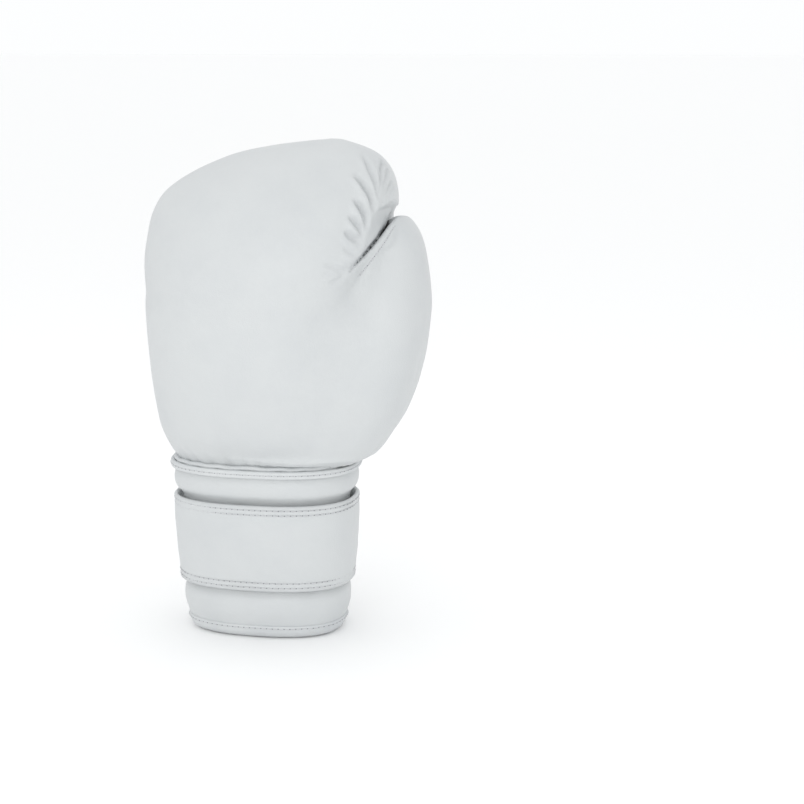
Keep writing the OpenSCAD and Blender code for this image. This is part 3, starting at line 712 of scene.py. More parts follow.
def skinPiece(name, chosen, material, tucked=None):
    # a panel of leather with its own thickness; `tucked` is how far each point lies past a hinge,
    # where the panel goes under the leather beside it
    faces = skinFaces[chosen & kept]
    used, index = np.unique(faces, return_inverse=True)
    faces = index.reshape(-1, 4)
    outer = skinVerts[used]
    if tucked is not None:
        outer = outer - skinNormals[used] * (0.9 * smoothStep(-0.6, 0.9, tucked(outer[:, 0])))[:, None]
    inner = outer - skinNormals[used] * skin["leather"]
    a = np.concatenate([faces[:, k] for k in range(4)])
    b = np.concatenate([faces[:, (k + 1) % 4] for k in range(4)])
    edge = {(int(p), int(q)) for p, q in zip(a, b)}
    rim = [(p, q) for p, q in edge if (q, p) not in edge]
    n = len(outer)
    rimVerts = sorted({p for pair in rim for p in pair})
    place = {v: i for i, v in enumerate(rimVerts)}
    m = len(rimVerts)
    verts = np.vstack([outer, inner, outer[rimVerts], inner[rimVerts]])
    allFaces = faces.tolist() + (faces[:, ::-1] + n).tolist()
    allFaces += [[2 * n + place[q], 2 * n + place[p], 2 * n + m + place[p], 2 * n + m + place[q]]
                 for p, q in rim]
    obj = makeObject(name, verts, allFaces, material)
    normals = np.vstack([skinNormals[used], -skinNormals[used], unit(skinNormals[used][rimVerts]),
                         -unit(skinNormals[used][rimVerts])])
    obj.data.normals_split_custom_set_from_vertices(normals.tolist())
    obj.data.materials.append(blackLining)
    # the leather's inside is dark; its faces and edges deep in the crease take the dark lining as painted
    # shade, partly the dark inside seen through the gap
    deep = skinDistance(*outer.T)[2] < -0.3 * crease["depth"]
    deepRimShade = deep[[p for p, _ in rim]]
    dark = np.concatenate([creaseShadeFaces[chosen & kept], np.ones(len(faces), bool), deepRimShade])
    obj.data.polygons.foreach_set("material_index", dark.astype(np.int32))
    return obj


def bendPalm(obj):
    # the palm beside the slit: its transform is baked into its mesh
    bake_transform(obj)


backLeather = skinPiece("backLeather", ~inThumb & ~heelPalm & ~thumbPalm, whiteLeather)
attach(backLeather, "mitt")
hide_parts("mitt_shell", "palm_panel", "back_foam", "palm_foam", "core_foam", "roll_foam",
            "knuckle_foam", "heel_side_foam", "thumb_side_foam")
thumbLeather = skinPiece("thumbLeather", inThumb, whiteLeather)
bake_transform(thumbLeather)
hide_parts("thumb_shell", "thumb_inner_panel", "thumb_foam")
tuck = 4.0                       # how far the palm's leather reaches past the hinges of the flaps
heelPalmWide = onPalmSide & (centre[:, 0] > heelHingeX - tuck) & (centre[:, 0] < slitX)
thumbPalmWide = onPalmSide & (centre[:, 0] < thumbHingeX + tuck) & (centre[:, 0] > slitX)
for name, chosen, side, hinge in (("heelPalmLeather", heelPalmWide, -1, heelHingeX),
                                  ("thumbPalmLeather", thumbPalmWide, 1, thumbHingeX)):
    palmPiece = skinPiece(name, chosen & ~inThumb, whiteLeather, lambda x: side * (x - hinge))
    bendPalm(palmPiece)
print("mitt and thumb leather made")


# the cuff

cuff = {
    "wall": 8.6,          # leather and foam together
    "lining": 1.0,
    "cornerRadius": 27.0,
    "lift": 1.5,          # how far the flaps stay above the rim
    "slitIn": 2.4,        # from the slit to the flaps' own edge, under the binding
    "waves": ((0.22, 34, 11), (0.10, 9, 12)),
    "bindingHalf": 2.9,
    "bindingOut": 5.2,
    "bindingSink": 4.4,
    "rowOut": 0.9,        # the binding's stitches: outside the cuff, and in from its middle
    "rowIn": 2.1,
}
band = wristZ - strapTopZ
cuffTable = evenSteps(catmull([
    (0, 11.2), (4, 9.4), (9, 7.2), (16, 5.2), (strapZ - 6, 5.0), (strapZ - 0.5, 7.3), (strapZ + 8, 7.3),
    (strapTopZ - 8, 5.3), (strapTopZ + 0.5, 4.5), (strapTopZ + 0.22 * band, 1.1),
    (strapTopZ + 0.45 * band, 0.0), (strapTopZ + 0.62 * band, 0.5), (strapTopZ + 0.72 * band, 1.3),
    (strapTopZ + 0.84 * band, 1.0), (wristZ, 3.6)], 10), 0.5)
for _ in range(3):
    cuffTable[1:-1] = (cuffTable[:-2] + 2 * cuffTable[1:-1] + cuffTable[2:]) / 4


def cuffHalves(z, off):
    inset = np.interp(z, cuffTable[:, 0], cuffTable[:, 1])
    return cuffHalfW - inset + off, cuffHalfD - inset + off


def cuffPoint(angle, z, off):
    # angle in degrees: 0 on the thumb side, 90 on the palm, -90 on the back
    angle, z, off = np.broadcast_arrays(np.radians(angle), z, off)
    halfW, halfD = cuffHalves(z, off)
    u, v = ovalTurn(angle, ovalPower)
    return np.stack([halfW * u, halfD * v, z], axis=-1)


def cuffPalm(x, z, off):
    # the point of the palm side straight above x
    x, z, off = np.broadcast_arrays(np.asarray(x, float), z, off)
    halfW, halfD = cuffHalves(z, off)
    y = halfD * np.maximum(1 - np.abs(x / halfW) ** ovalPower, 0.01) ** (1 / ovalPower)
    return np.stack([x, y, z], axis=-1)


def ovalNormal(points):
    x, y = points[..., 0] / cuffHalfW, points[..., 1] / cuffHalfD
    n = np.stack([np.sign(x) * np.abs(x) ** (ovalPower - 1) / cuffHalfW,
                  np.sign(y) * np.abs(y) ** (ovalPower - 1) / cuffHalfD, np.zeros_like(x)], axis=-1)
    return unit(n)


def rowOn(points):
    # a path on the cuff, with the cuff's outward direction at each of its points
    return points, ovalNormal(points)


middleZ = 60.0                   # the height at which angles round the cuff and distances along x meet


def angleOfX(x):
    halfW, _ = cuffHalves(middleZ, 0.0)
    return math.degrees(math.acos(min(abs(x) / halfW, 1) ** (ovalPower / 2)))


def mirrored(points, side):
    return points * np.array([side, 1, 1])


def flapColumns(side, inset, fromX=None):
    # places across one half of the cuff, seen with the flap's hinge at +x:
    # an angle round the side, or a distance from the middle on the palm, and the lower end of each
    hinge = thumbHingeX if side > 0 else -heelHingeX
    edge = side * slitX + slitHalf + inset
    r = cuff["cornerRadius"] - inset
    columns = []
    if fromX is None:
        for a in np.linspace(-90.0, angleOfX(hinge), 46)[:-1]:
            columns.append((a, None, 4.0))
        fromX = hinge
    for x in np.linspace(fromX, edge + r, 8)[:-1]:
        columns.append((None, x, cuff["lift"] + inset))
    for turned in np.linspace(0, 90, 26):
        x = edge + r * (1 - math.sin(math.radians(turned)))
        z = cuff["lift"] + inset + r * (1 - math.cos(math.radians(turned)))
        columns.append((None, min(x, fromX), z))
    return columns


def flapGrid(side, columns, hinge, rows, top):
    # rows: pairs of (share of the height, how far outside the cuff)
    grid = []
    halfRef, _ = cuffHalves(middleZ, 0.0)
    share, off = np.array(rows, float).T
    for angle, x, bottom in columns:
        z = bottom + (top - bottom) * share
        if x is None:
            p = cuffPoint(angle, z, off)
        else:
            # the columns lean with the cuff at the hinge and stand upright by the slit
            straight = float(smoothStep(0, 14, hinge - x))
            halfW, _ = cuffHalves(z, 0.0)
            p = cuffPalm(x * ((1 - straight) * halfW / halfRef + straight), z, off)
        grid.append(mirrored(p, side))
    return np.array(grid)


def wallRows(outer, inner, count):
    # round the wall's section: up the outside, down the inside
    t = np.linspace(0, 1, count)
    soft = smoothStep(0, 0.02, t) * (1 - smoothStep(0.99, 1, t))
    rows = [(float(a), outer - 1.6 * (1 - float(b))) for a, b in zip(t, soft)]
    rows += [(float(a), inner) for a in np.linspace(1, 0, max(6, count // 4))]
    return rows


def bendFlap(obj):
    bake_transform(obj)


stitch = {
    "length": 2.7,
    "gap": 0.75,
    "radius": 0.34,
    "sink": 0.10,
    "hole": 0.36,
    "sides": 6,
    # a stitch's rings along it, and their size; a needle hole's dark bead (painted shade), its rings by
    # height, and their size
    "rings": [(-1.0, 0.15), (-0.82, 0.75), (-0.45, 1), (0, 1), (0.45, 1), (0.82, 0.75), (1.0, 0.15)],
    "holeShadeRings": [(-0.3, 0.5), (0.02, 1.0), (0.10, 0.7)],
}


def addBody(verts, faces, rings):
    # one closed body through rings of points
    sides = len(rings[0])
    base = len(verts)
    for ring in rings:
        verts.extend(ring)
    for q in range(len(rings) - 1):
        for k in range(sides):
            a, b = base + q * sides + k, base + q * sides + (k + 1) % sides
            faces.append((a, b, b + sides, a + sides))
    faces.append(tuple(base + k for k in reversed(range(sides))))
    faces.append(tuple(len(verts) - sides + k for k in range(sides)))


def stitchRow(path, normals):
    # small raised stitches end to end along a path, and between them small dark beads for the needle holes:
    # painted shade
    run = lengthAlong(path)
    pitch = stitch["length"] + stitch["gap"]
    count = int(run[-1] / pitch)
    if count < 1:
        return None
    start = (run[-1] - count * pitch) / 2
    turns = [2 * math.pi * k / stitch["sides"] for k in range(stitch["sides"])]
    verts, faces, holeShadeBeads = [], [], []

    def at(s):
        p = np.array([np.interp(s, run, path[:, k]) for k in range(3)])
        n = np.array([np.interp(s, run, normals[:, k]) for k in range(3)])
        return p, n / max(np.linalg.norm(n), 1e-9)

    for i in range(count):
        middle = start + (i + 0.5) * pitch
        p0, _ = at(middle - 0.4)
        p1, _ = at(middle + 0.4)
        p, n = at(middle)
        along = (p1 - p0) / max(np.linalg.norm(p1 - p0), 1e-9)
        across = np.cross(n, along)
        rings = []
        for t, size in stitch["rings"]:
            c = p + along * t * stitch["length"] / 2 + n * (0.22 * (1 - t * t) - stitch["sink"])
            r = size * stitch["radius"]
            rings.append([c + r * (math.cos(w) * across + 0.8 * math.sin(w) * n) for w in turns])
        addBody(verts, faces, rings)
        holeShadeBeads.append(at(start + i * pitch) + (along,))
    holeShadeBeads.append(at(start + count * pitch) + (along,))
    threads = len(faces)
    for p, n, along in holeShadeBeads:
        across = np.cross(n, along)
        addBody(verts, faces, [[p + n * h + stitch["hole"] * r * (math.cos(w) * across + math.sin(w) * along)
                                for w in turns] for h, r in stitch["holeShadeRings"]])
    return verts, faces, threads


def stitchObject(name, rows):
    verts, faces, kinds = [], [], []
    for row in rows:
        made = stitchRow(*row)
        if made is None:
            continue
        base = len(verts)
        verts += made[0]
        faces += [tuple(v + base for v in f) for f in made[1]]
        kinds += [0] * made[2] + [1] * (len(made[1]) - made[2])
    obj = makeObject(name, verts, faces, whiteThread)
    # the beads for the needle holes take needleShade: painted shade
    obj.data.materials.append(needleShade)
    obj.data.polygons.foreach_set("material_index", kinds)
    return obj


def unevenOutside(grid, first, last, waves):
    # makes the outside of a swept piece slightly uneven; waves: (height, length, seed)
    fade = np.zeros(grid.shape[:2])
    fade[:, first:last] = 1
    for size, scale, seed in waves:
        wave = size * noise(grid.reshape(-1, 3), scale, seed).reshape(grid.shape[:2]) * fade
        grid = grid + ovalNormal(grid) * wave[..., None]
    return grid


flapSides = (
    (-1, "Heel", "heel_flap", "heel", -heelHingeX),
    (1, "Thumb", "thumb_flap", "thumb", thumbHingeX),
)
binding = cuff["bindingHalf"]
outerRows = 64
for side, sideName, flapBody, nodeStart, hinge in flapSides:
    columns = flapColumns(side, cuff["slitIn"])
    grid = flapGrid(side, columns, hinge, wallRows(0.0, -cuff["wall"], outerRows), wristZ - 0.5)
    grid = unevenOutside(grid, 3, outerRows - 3, cuff["waves"])
    cuffHalf = sweepObject("cuff" + sideName + "Half", grid, whiteLeather)
    bendFlap(cuffHalf)
    if side < 0:
        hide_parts("cuff_shell", "cuff_back_foam", "cuff_heel_foam", "heel_flap_leather",
                    "heel_flap_foam")
    else:
        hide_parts("cuff_thumb_foam", "thumb_flap_leather", "thumb_flap_foam")

    lined = flapGrid(side, columns, hinge,
                     [(t, -cuff["wall"] - 0.15) for t in np.linspace(0, 1, 24)]
                     + [(t, -cuff["wall"] - cuff["lining"]) for t in np.linspace(1, 0, 24)], wristZ + 3)
    lining = sweepObject("cuff" + sideName + "Lining", lined, greyMesh)
    bendFlap(lining)
    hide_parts(nodeStart + "_flap_lining", *(("cuff_lining",) if side < 0 else ()))

    # the rolled edge of the flap: along its foot, round the corner and up the slit
    outline = [(x, z) for _, x, z in flapColumns(side, binding, fromX=hinge)]
    outline += [(outline[-1][0], z) for z in np.linspace(outline[-1][1] + 3, wristZ - 3, 24)]
    outline = evenSteps(np.array(outline), 1.6)
    path = mirrored(cuffPalm(*outline.T, -cuff["bindingSink"]), side)
    out = ovalNormal(path)
    section = roundSection(binding, cuff["bindingOut"], 0.0, 3.0, 22)
    roll = tube("flapBinding" + sideName, path, out, section, foldedLeather)
    face = mirrored(cuffPalm(*outline.T, cuff["rowOut"]), side)
    inwardShift = np.cross(unit(np.gradient(face, axis=0)), out) * cuff["rowIn"]
    if inwardShift[0, 2] < 0:
        inwardShift = -inwardShift
    roll = joinInto(roll, stitchObject("flapBindingStitches" + sideName, [(face + inwardShift, out)]))
    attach(roll, flapBody)
    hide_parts(nodeStart + "_flap_binding")

# the rolled rim of the cuff, round the back from one flap to the other
rimSizes = {
    # height, and how far outside the cuff, round its section
    "section": [(8.2, 0.0), (7.6, 0.9), (6.0, 1.5), (4.0, 1.7), (2.2, 1.4), (0.9, 0.6), (0.15, -0.7),
                (0.0, -2.2), (0.0, -6.0), (0.4, -8.2), (1.6, -9.6), (3.4, -10.2), (6.0, -10.2),
                (7.8, -10.0), (8.4, -8.6), (7.0, -4.5)],
    "endAngle": 1.0,      # degrees past the hinges of the flaps
    "rowZ": 6.6,
    "rowOut": 1.35,
}


def backAngles(endAngle, count):
    # round the back of the cuff from one flap's hinge to the other's
    return np.linspace(angleOfX(thumbHingeX) + endAngle, -180 - angleOfX(heelHingeX) - endAngle, count)


rimAngles = backAngles(rimSizes["endAngle"], 150)
rimSection = np.array(rimSizes["section"])
rimGrid = cuffPoint(rimAngles[:, None], rimSection[None, :, 0], rimSection[None, :, 1])
rim = sweepObject("rimBinding", rimGrid, foldedLeather)
rimPath = cuffPoint(rimAngles, rimSizes["rowZ"], rimSizes["rowOut"])
rim = joinInto(rim, stitchObject("rimStitches", [rowOn(rimPath)]))
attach(rim, "mitt")
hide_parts("cuff_binding")

# the piped seam of the wrist
wrist = {
    # how far below the mitt's foot, and how far outside the cuff
    "welt": (0.6, 1.8),
    "tape": (3.6, 1.6),
    "row": (3.7, 2.8),
    "weltSection": (1.5, 1.7, -0.4, 2.2, 12),
    "tapeSection": (2.3, 1.3, 0.0, 3.2, 14),
    "wave": 0.25,
    "endAngle": 2.0,
    "endSink": 6.0,       # both ends run out into the leather of the palm
    "endSpan": 24.0,
}
weltAngles = backAngles(wrist["endAngle"], 220)
toEnd = np.minimum(weltAngles - weltAngles[-1], weltAngles[0] - weltAngles)
weltSink = wrist["endSink"] * (1 - smoothStep(0, wrist["endSpan"], toEnd))


def wristPath(part):
    down, out = wrist[part]
    return cuffPoint(weltAngles, wristZ - down, out - weltSink)


weltPath = wristPath("welt")
weltPath[:, 2] += wrist["wave"] * np.sin(np.radians(weltAngles) * 23)
welt = tube("wristWelt", *rowOn(weltPath), roundSection(*wrist["weltSection"]), foldedLeather)
tape = tube("wristTape", *rowOn(wristPath("tape")), roundSection(*wrist["tapeSection"]), foldedLeather)
tapeRow = wristPath("row")[weltSink < 0.6]
welt = joinInto(welt, tape, stitchObject("wristStitches", [rowOn(tapeRow)]))
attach(welt, "mitt")
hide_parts("wrist_welt")
print("cuff, flaps and bindings made")


# the palm: the patch round the slit, the slit's rolled edges and the vent

patch = {
    "lift": 0.95,
    "half": 25.0,
    "top": archTop - 1.0,
    "slitTop": archTop - 19.0,
    "slitIn": 3.0,        # from the slit's edge to the patch's
    "rows": (2.6, 5.8),   # how far its stitch rows stand in
}


def palmPoint(x, z, lift):
    start = np.stack([x, np.full_like(x, rayStart), z], axis=1)
    hit, normal = castOnto(skinTree, start, (0, -1, 0))
    return hit + normal * np.asarray(lift)[..., None], normal


def archPath(half, footZ, topZ):
    # up one side of the slit and round to its middle above
    bend = topZ - half
    line = [(half, z) for z in np.linspace(footZ, bend, 30)[:-1]]
    arc = [(half * math.cos(w), bend + half * math.sin(w)) for w in np.linspace(0, math.pi / 2, 24)]
    return evenSteps(np.array(line + arc), 1.0)


footZ = wristZ + 0.4
for side, sideName, flapBody, nodeStart, _ in flapSides:
    # the patch on the palm
    outer = evenPoints(archPath(patch["half"], footZ, patch["top"]), 90)
    inner = evenPoints(archPath(slitHalf + patch["slitIn"], footZ, patch["slitTop"] + 4), 90)
    across = np.r_[0, 0.012, 0.03, np.linspace(0.06, 0.94, 26), 0.97, 0.988, 1.0]
    width = patch["half"] - slitHalf - patch["slitIn"]
    lift = patch["lift"] * smoothStep(0, 0.035, across) * (1 - smoothStep(0.965, 1, across))
    for rowAt in patch["rows"]:
        lift = lift - 0.32 * np.exp(-(((1 - across) * width - rowAt) / 0.9) ** 2)
    top, foot = [], []
    for k, t in enumerate(across):
        flat = inner * (1 - t) + outer * t
        p, n = palmPoint(slitX + side * flat[:, 0], flat[:, 1], np.full(len(flat), lift[k]))
        top.append(p)
        foot.append(p - n * (lift[k] + 0.5))
    grid = np.concatenate([np.array(top), np.array(foot)[::-1]], axis=0).transpose(1, 0, 2)
    patchPiece = sweepObject("slitPatch" + sideName, grid, whiteLeather)
    rows = []
    for rowAt in patch["rows"]:
        t = 1 - rowAt / width
        flat = inner * (1 - t) + outer * t
        low = np.full(len(flat), patch["lift"] - 0.25)
        rows.append(palmPoint(slitX + side * flat[:, 0], flat[:, 1], low))

    # the rolled edge of the slit
    lip = archPath(slitHalf + 1.5, footZ - 4, patch["slitTop"] + 1.8)
    p, n = palmPoint(slitX + side * lip[:, 0], lip[:, 1], np.full(len(lip), -1.6))
    n = unit(n * np.array([0.2, 1, 0.2]))
    lipRoll = tube("slitEdge" + sideName, p, n, roundSection(1.75, 3.4, -0.8, 2.6, 16), foldedLeather)
    patchPiece = joinInto(patchPiece, stitchObject("slitPatchStitches" + sideName, rows), lipRoll)
    bendPalm(patchPiece)
    if side < 0:
        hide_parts("patch_arch")

    # the patch goes on down the flap
    patchEdge = side * slitX + patch["half"]
    columns = [c for c in flapColumns(side, 5.2, fromX=patchEdge) if c[1] <= patchEdge + 0.01]
    rowsUp = [(0, -0.4), (0.006, 0.35)] + [(t, 0.8) for t in np.linspace(0.02, 1, 60)] \
        + [(t, -0.5) for t in np.linspace(1, 0, 16)]
    upright = 99.0    # a hinge this far away leaves every column upright
    grid = flapGrid(side, columns, upright, rowsUp, wristZ + 0.6)
    grid[0] = grid[0] + ovalNormal(grid[0]) * -0.7
    strip = sweepObject("flapPatch" + sideName, grid, whiteLeather)
    rows = []
    for rowAt in patch["rows"]:
        z = np.arange(8.0 + 0.5 * rowAt, wristZ, 1.0)
        rows.append(rowOn(mirrored(cuffPalm(np.full(len(z), patchEdge - rowAt), z, 0.75), side)))
    strip = joinInto(strip, stitchObject("flapPatchStitches" + sideName, rows))
    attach(strip, flapBody)
    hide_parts(nodeStart + "_patch_strip")

ventSizes = {
    "aside": 2.0,         # from the slit's middle
    "down": 9.0,          # below the finger roll
    "radius": 1.9,
    "section": (0.75, 0.6, 0.1, 2.2, 10),
    "hole": 1.5,
    "depth": 1.2,
    "points": 32,
}
places, normals = palmPoint(np.array([slitX + ventSizes["aside"]]), np.array([rollZ - ventSizes["down"]]),
                            np.array([0.0]))
ventPlace, ventNormal = places[0], normals[0]
ventFrame = unit(np.cross(ventNormal, np.array([1.0, 0, 0.1])))
ventSide = np.cross(ventNormal, ventFrame)
n = ventSizes["points"]
ring = np.array([ventPlace + ventSizes["radius"] * (math.cos(w) * ventFrame + math.sin(w) * ventSide)
                 for w in np.linspace(0, 2 * math.pi, n + 1)[:-1]])
vent = tube("ventRing", ring, np.tile(ventNormal, (n, 1)), roundSection(*ventSizes["section"]),
            foldedLeather, closed=True)
# the hole: a middle point, two rings and a middle point again, as a shallow black cup: painted shade of the
# deep hole, partly the dark lining behind it
hole = [ventPlace + 0.12 * ventNormal]
hole += [ventPlace + 0.2 * ventNormal + ventSizes["hole"] * (p - ventPlace) / ventSizes["radius"]
         for p in ring]
hole += [p - ventSizes["depth"] * ventNormal for p in hole[1:]]
hole += [ventPlace - ventSizes["depth"] * ventNormal]
holeFaces = []
for i in range(n):
    a, b = i + 1, (i + 1) % n + 1
    holeFaces += [(0, a, b), (a, a + n, b + n, b), (2 * n + 1, b + n, a + n)]
vent = joinInto(vent, makeObject("ventHoleShade", hole, holeFaces, blackLining))
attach(vent, "mitt")

seamRow = {"aside": 2.2, "top": rollZ + 3, "lift": 0.02}
rows = []
for path in seams.values():
    for aside in (-seamRow["aside"], seamRow["aside"]):
        hit, normal = nearestOn(skinTree, path)
        sideways = np.cross(unit(np.gradient(hit, axis=0)), normal)
        hit, normal = nearestOn(skinTree, hit + sideways * aside)
        onPanel = hit[:, 2] < seamRow["top"]
        rows.append((hit[onPanel] + seamRow["lift"] * normal[onPanel], normal[onPanel]))
seamStitches = stitchObject("seamStitches", rows)
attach(seamStitches, "mitt")
edgeStitches = stitchObject("thumbEdgeStitches", [nearestOn(skinTree, thumbEdge)])
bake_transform(edgeStitches)
print("palm patch, slit edges and seams made")


# the strap

strap = {
    "inner": 2.45,
    "outer": 5.35,
    "rootFrom": 122.0,    # the sewn end, on the little-finger side of the palm
    "sideAt": -2.0,       # where the two lengths of leather join, under the thumb
    "end": -194.0,
    "rows": (2.6, 5.4),   # how far the stitch rows stand in from each edge
    "endRows": (3.0, 6.5),
    "rootDrop": 1.9,      # how far the sewn end lies down on the cuff
    "rootSpan": 10.0,
    "endThin": 0.35,      # how much thinner the free end is
    "endSpan": 3.0,
    "waves": ((0.28, 40, 21), (0.07, 8, 22)),
}
strapWide = strapTopZ - strapZ


def strapSection(outerSteps=46, innerSteps=12):
    # (height share, how far outside the cuff), round the strap's section
    z = np.linspace(0, strapWide, outerSteps)
    edge = np.minimum(z, strapWide - z)
    off = strap["outer"] - 1.5 * (1 - np.sqrt(np.clip(1 - (1 - np.clip(edge / 1.5, 0, 1)) ** 2, 0, 1)))
    off = off + 0.45 * smoothStep(5, 16, edge) - 0.1
    for row in strap["rows"]:
        off = off - 0.34 * np.exp(-((edge - row) / 0.85) ** 2)
    section = list(zip(z, off))
    section += [(strapWide - 0.4, strap["inner"] + 0.5)]
    section += [(a, strap["inner"]) for a in np.linspace(strapWide - 1.2, 1.2, innerSteps)]
    section += [(0.4, strap["inner"] + 0.5)]
    return np.array(section)


def rootDrop(angles):
    return strap["rootDrop"] * smoothStep(strap["rootFrom"] - strap["rootSpan"], strap["rootFrom"], angles)


def strapGrid(fromAngle, toAngle, step=1.6):
    section = strapSection()
    count = len(np.arange(fromAngle, toAngle, -step)) + 1
    angles = np.linspace(fromAngle, toAngle, count)
    off = np.tile(section[:, 1], (count, 1)) - rootDrop(angles)[:, None]
    thin = 1 - strap["endThin"] * smoothStep(strap["end"] + strap["endSpan"], strap["end"], angles)[:, None]
    off = strap["inner"] + (off - strap["inner"]) * thin
    grid = cuffPoint(angles[:, None], strapZ + section[None, :, 0], off)
    return unevenOutside(grid, 2, 44, strap["waves"])


def strapRows(fromAngle, toAngle, trim=1.2):
    rows = []
    for row in strap["rows"]:
        for z in (strapZ + row, strapTopZ - row):
            angles = np.linspace(fromAngle - trim, toAngle + trim, 160)
            rows.append(rowOn(cuffPoint(angles, z, strap["outer"] - 0.28 - rootDrop(angles))))
    return rows


def endRows(angle, way):
    # two rows across the strap near its end
    rows = []
    for back in strap["endRows"]:
        z = np.arange(strapZ + 3.2, strapTopZ - 3, 1.0)
        across = np.full(len(z), angle + way * back)
        rows.append(rowOn(cuffPoint(across, z, strap["outer"] + 0.02 - rootDrop(across))))
    return rows


strapPalm = sweepObject("strapPalm", strapGrid(strap["rootFrom"], strap["sideAt"]), whiteLeather)
rows = strapRows(strap["rootFrom"], strap["sideAt"]) + endRows(strap["rootFrom"], -1)
strapPalm = joinInto(strapPalm, stitchObject("strapPalmStitches", rows))
foldA = cuffPoint(34.0, 56.0, 2.0) * mm
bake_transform(strapPalm)
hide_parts("strap_root_cover", "strap_root_core", "strap_seat")

strapBack = sweepObject("strapBack", strapGrid(strap["sideAt"], strap["end"]), whiteLeather)
rows = strapRows(strap["sideAt"], strap["end"]) + endRows(strap["end"], 1)
strapBack = joinInto(strapBack, stitchObject("strapBackStitches", rows))
foldB = cuffPoint(-38.0, 56.0, 2.0) * mm
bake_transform(strapBack)
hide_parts("strap_back_cover", "strap_back_core", "strap_side_cover", "strap_side_core")


tapes = {
    "from": -96.0,        # degrees round the cuff, on its back
    "to": -186.0,
    "inset": 3.5,
    "loop": (0.1, 1.15),  # the inner and the outer face, outside the cuff
    "hook": (1.45, 2.55),
    "row": (5.0, 1.2),    # in from the strap's edges, and outside the cuff
}


def tapeGrid(inner, outer):
    angles = np.linspace(tapes["from"], tapes["to"], 60)
    z = np.linspace(strapZ + tapes["inset"], strapTopZ - tapes["inset"], 30)
    section = np.array([(a, outer) for a in z] + [(a, inner) for a in z[::-1]])
    section[0, 1] = section[29, 1] = (inner + outer) / 2
    return cuffPoint(angles[:, None], section[None, :, 0], section[None, :, 1])


loops = sweepObject("loopTape", tapeGrid(*tapes["loop"]), loopPile)
rowIn, rowOut = tapes["row"]
rowAngles = np.linspace(tapes["from"] - 1, tapes["to"] + 1, 120)
rows = [rowOn(cuffPoint(rowAngles, z, rowOut)) for z in (strapZ + rowIn, strapTopZ - rowIn)]
loops = joinInto(loops, stitchObject("loopTapeStitches", rows))
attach(loops, "mitt")
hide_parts("loop_patch")
hooks = sweepObject("hookTape", tapeGrid(*tapes["hook"]), hookTape)
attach(hooks, "strap_back")
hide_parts("hook_patch")
print("strap and fastener made")


# the linings inside, the grip bar and the thumb's tether

gripMiddle = (gripLow + gripHigh) / 2
_, gripY, gripZ = gripMiddle
hand = {
    "aside": 2.0,
    "cloth": 0.001,
    # depth, height, half width, half thickness, tilt: up the hand and over the grip bar
    "stations": [
        (0, wristZ + 2, 41, 28, 0), (2, wristZ + 26, 42, 25, 0), (-2, wristZ + 58, 42, 20.5, 0),
        (gripY - 26.5, gripZ - 10, 41, 15.5, 0), (gripY - 20, gripZ + 17, 39, 14, 42),
        (gripY, gripZ + 26.5, 38, 13.5, 90), (gripY + 20, gripZ + 17, 36, 12.5, 138),
        (gripY + 26.5, gripZ + 4, 33, 11, 180)],
}
rings = []
u, v = ovalTurn(turnAngles(30), ovalPower)
for depth, height, halfW, halfT, tilt in catmull(hand["stations"], 6):
    tilt = math.radians(tilt)
    rings.append(np.stack([halfW * u + hand["aside"], depth + halfT * v * math.cos(tilt),
                           height - halfT * v * math.sin(tilt)], axis=1))
handLining = sweepObject("handLining", np.array(rings), blackLining, capped=False)
thick = handLining.modifiers.new("cloth", "SOLIDIFY")
thick.thickness = hand["cloth"]
thick.offset = 1
bpy.context.view_layer.objects.active = handLining
bpy.ops.object.modifier_apply(modifier="cloth")
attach(handLining, "mitt")
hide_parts("hand_lining", "thumb_gusset")

sleeve = {
    "depthShare": 1.15,
    # height, x, y, radius
    "stations": [(148, 60, 8, 11), (166, 74, 9, 12), (190, 79, 10, 11.5), (206, 80, 11, 10),
                 (220, 80, 12, 6.5), (224, 80, 12, 2)],
}
rings = []
w = turnAngles(28)
for z, x, y, r in sleeve["stations"]:
    rings.append(np.stack([x + r * np.cos(w), y + sleeve["depthShare"] * r * np.sin(w),
                           np.full(28, float(z))], axis=1))
thumbSleeve = sweepObject("thumbLining", np.array(rings), blackLining)
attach(thumbSleeve, "thumb")
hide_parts("thumb_lining")

barSizes = {
    "half": (gripHigh[0] - gripLow[0]) / 2,
    "radius": (gripHigh[2] - gripLow[2]) / 2,
    # shares of the half length and of the radius
    "profile": [(-1, 0.1), (-0.995, 0.6), (-0.97, 0.9), (-0.92, 1), (-0.4, 1), (0, 1), (0.4, 1), (0.92, 1),
                (0.97, 0.9), (0.995, 0.6), (1, 0.1)],
}
rings = []
w = turnAngles(32)
for s, r in barSizes["profile"]:
    radius = barSizes["radius"] * r
    rings.append(np.stack([np.full(32, gripMiddle[0] + s * barSizes["half"]), gripY + radius * np.cos(w),
                           gripZ + radius * np.sin(w)], axis=1))
bar = sweepObject("gripBar", np.array(rings), blackLining)
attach(bar, "mitt")
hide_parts("grip_bar")

tetherSizes = {
    "path": [(68, 20, 241.5), (73, 20, 240.5), (77, 20, 240.5), (83, 20, 239)],
    "section": (6, 1.1, 0, 3.5, 20),
}
tetherPath = curve(tetherSizes["path"])
tether = tube("thumbTether", tetherPath, np.tile([0, 0, 1.0], (len(tetherPath), 1)),
              roundSection(*tetherSizes["section"]), foldedLeather)
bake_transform(tether)
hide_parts("thumb_tether")
print("linings, grip bar and tether made")


# floor, light and camera

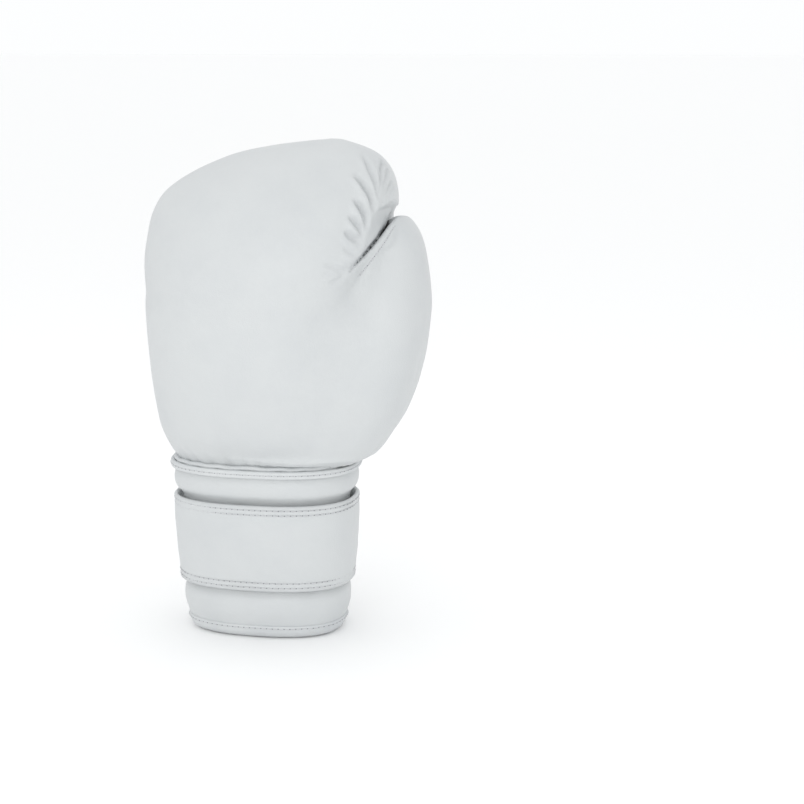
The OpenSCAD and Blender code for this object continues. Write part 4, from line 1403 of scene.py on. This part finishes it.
def areaLight(name, place, target, size, power, color=(1, 1, 1)):
    data = bpy.data.lights.new(name, "AREA")
    data.shape = "RECTANGLE"
    data.size, data.size_y = size
    data.energy = power
    data.color = color
    light = bpy.data.objects.new(name, data)
    light.location = place
    light.rotation_euler = (Vector(target) - Vector(place)).to_track_quat("-Z", "Y").to_euler()
    bpy.context.scene.collection.objects.link(light)
    return light


studio = {
    "floorTone": (0.985, 0.985, 0.985),
    "sky": 1.0,
    "key": 3.4,
    "fill": 0.3,
    "top": 1.0,
}
floorPaint, _, floorShader = newMaterial("floorPaint")
floorShader.inputs["Base Color"].default_value = (*studio["floorTone"], 1)
floorShader.inputs["Roughness"].default_value = 0.8
bpy.ops.mesh.primitive_plane_add(size=60, location=(0, 0, -0.0002))
floor = bpy.context.object
floor.name = "floor"
floor.data.materials.append(floorPaint)

areaLight("keyLight", (0.06, -1.2, 0.34), (0.01, 0, 0.12), (0.8, 0.8), studio["key"], (1, 1, 0.99))
areaLight("fillLight", (1.0, -0.7, 0.4), (0, 0, 0.15), (0.7, 0.7), studio["fill"], (0.9, 0.96, 1))
areaLight("topLight", (-0.1, 0.15, 1.2), (0, 0, 0.15), (1.0, 1.0), studio["top"])
world = bpy.data.worlds.new("studio")
world.use_nodes = True
world.node_tree.nodes["Background"].inputs["Color"].default_value = (0.985, 0.995, 1, 1)
world.node_tree.nodes["Background"].inputs["Strength"].default_value = studio["sky"]
bpy.context.scene.world = world
bpy.context.scene.view_settings.view_transform = "Standard"

view = {
    "azimuth": 12.0,
    "elevation": 11.0,
    "distance": 1.116,
    "lens": 85.0,
    "aim": (0.0793, 0.0130, 0.136),
}
turn, rise = math.radians(view["azimuth"]), math.radians(view["elevation"])
aim = Vector(view["aim"])
away = Vector((math.sin(turn) * math.cos(rise), -math.cos(turn) * math.cos(rise), math.sin(rise)))
cameraData = bpy.data.cameras.new("camera")
cameraData.lens = view["lens"]
cameraData.sensor_width = 36
camera = bpy.data.objects.new("camera", cameraData)
camera.location = aim + view["distance"] * away
camera.rotation_euler = (-away).to_track_quat("-Z", "Y").to_euler()
bpy.context.scene.collection.objects.link(camera)
bpy.context.scene.camera = camera
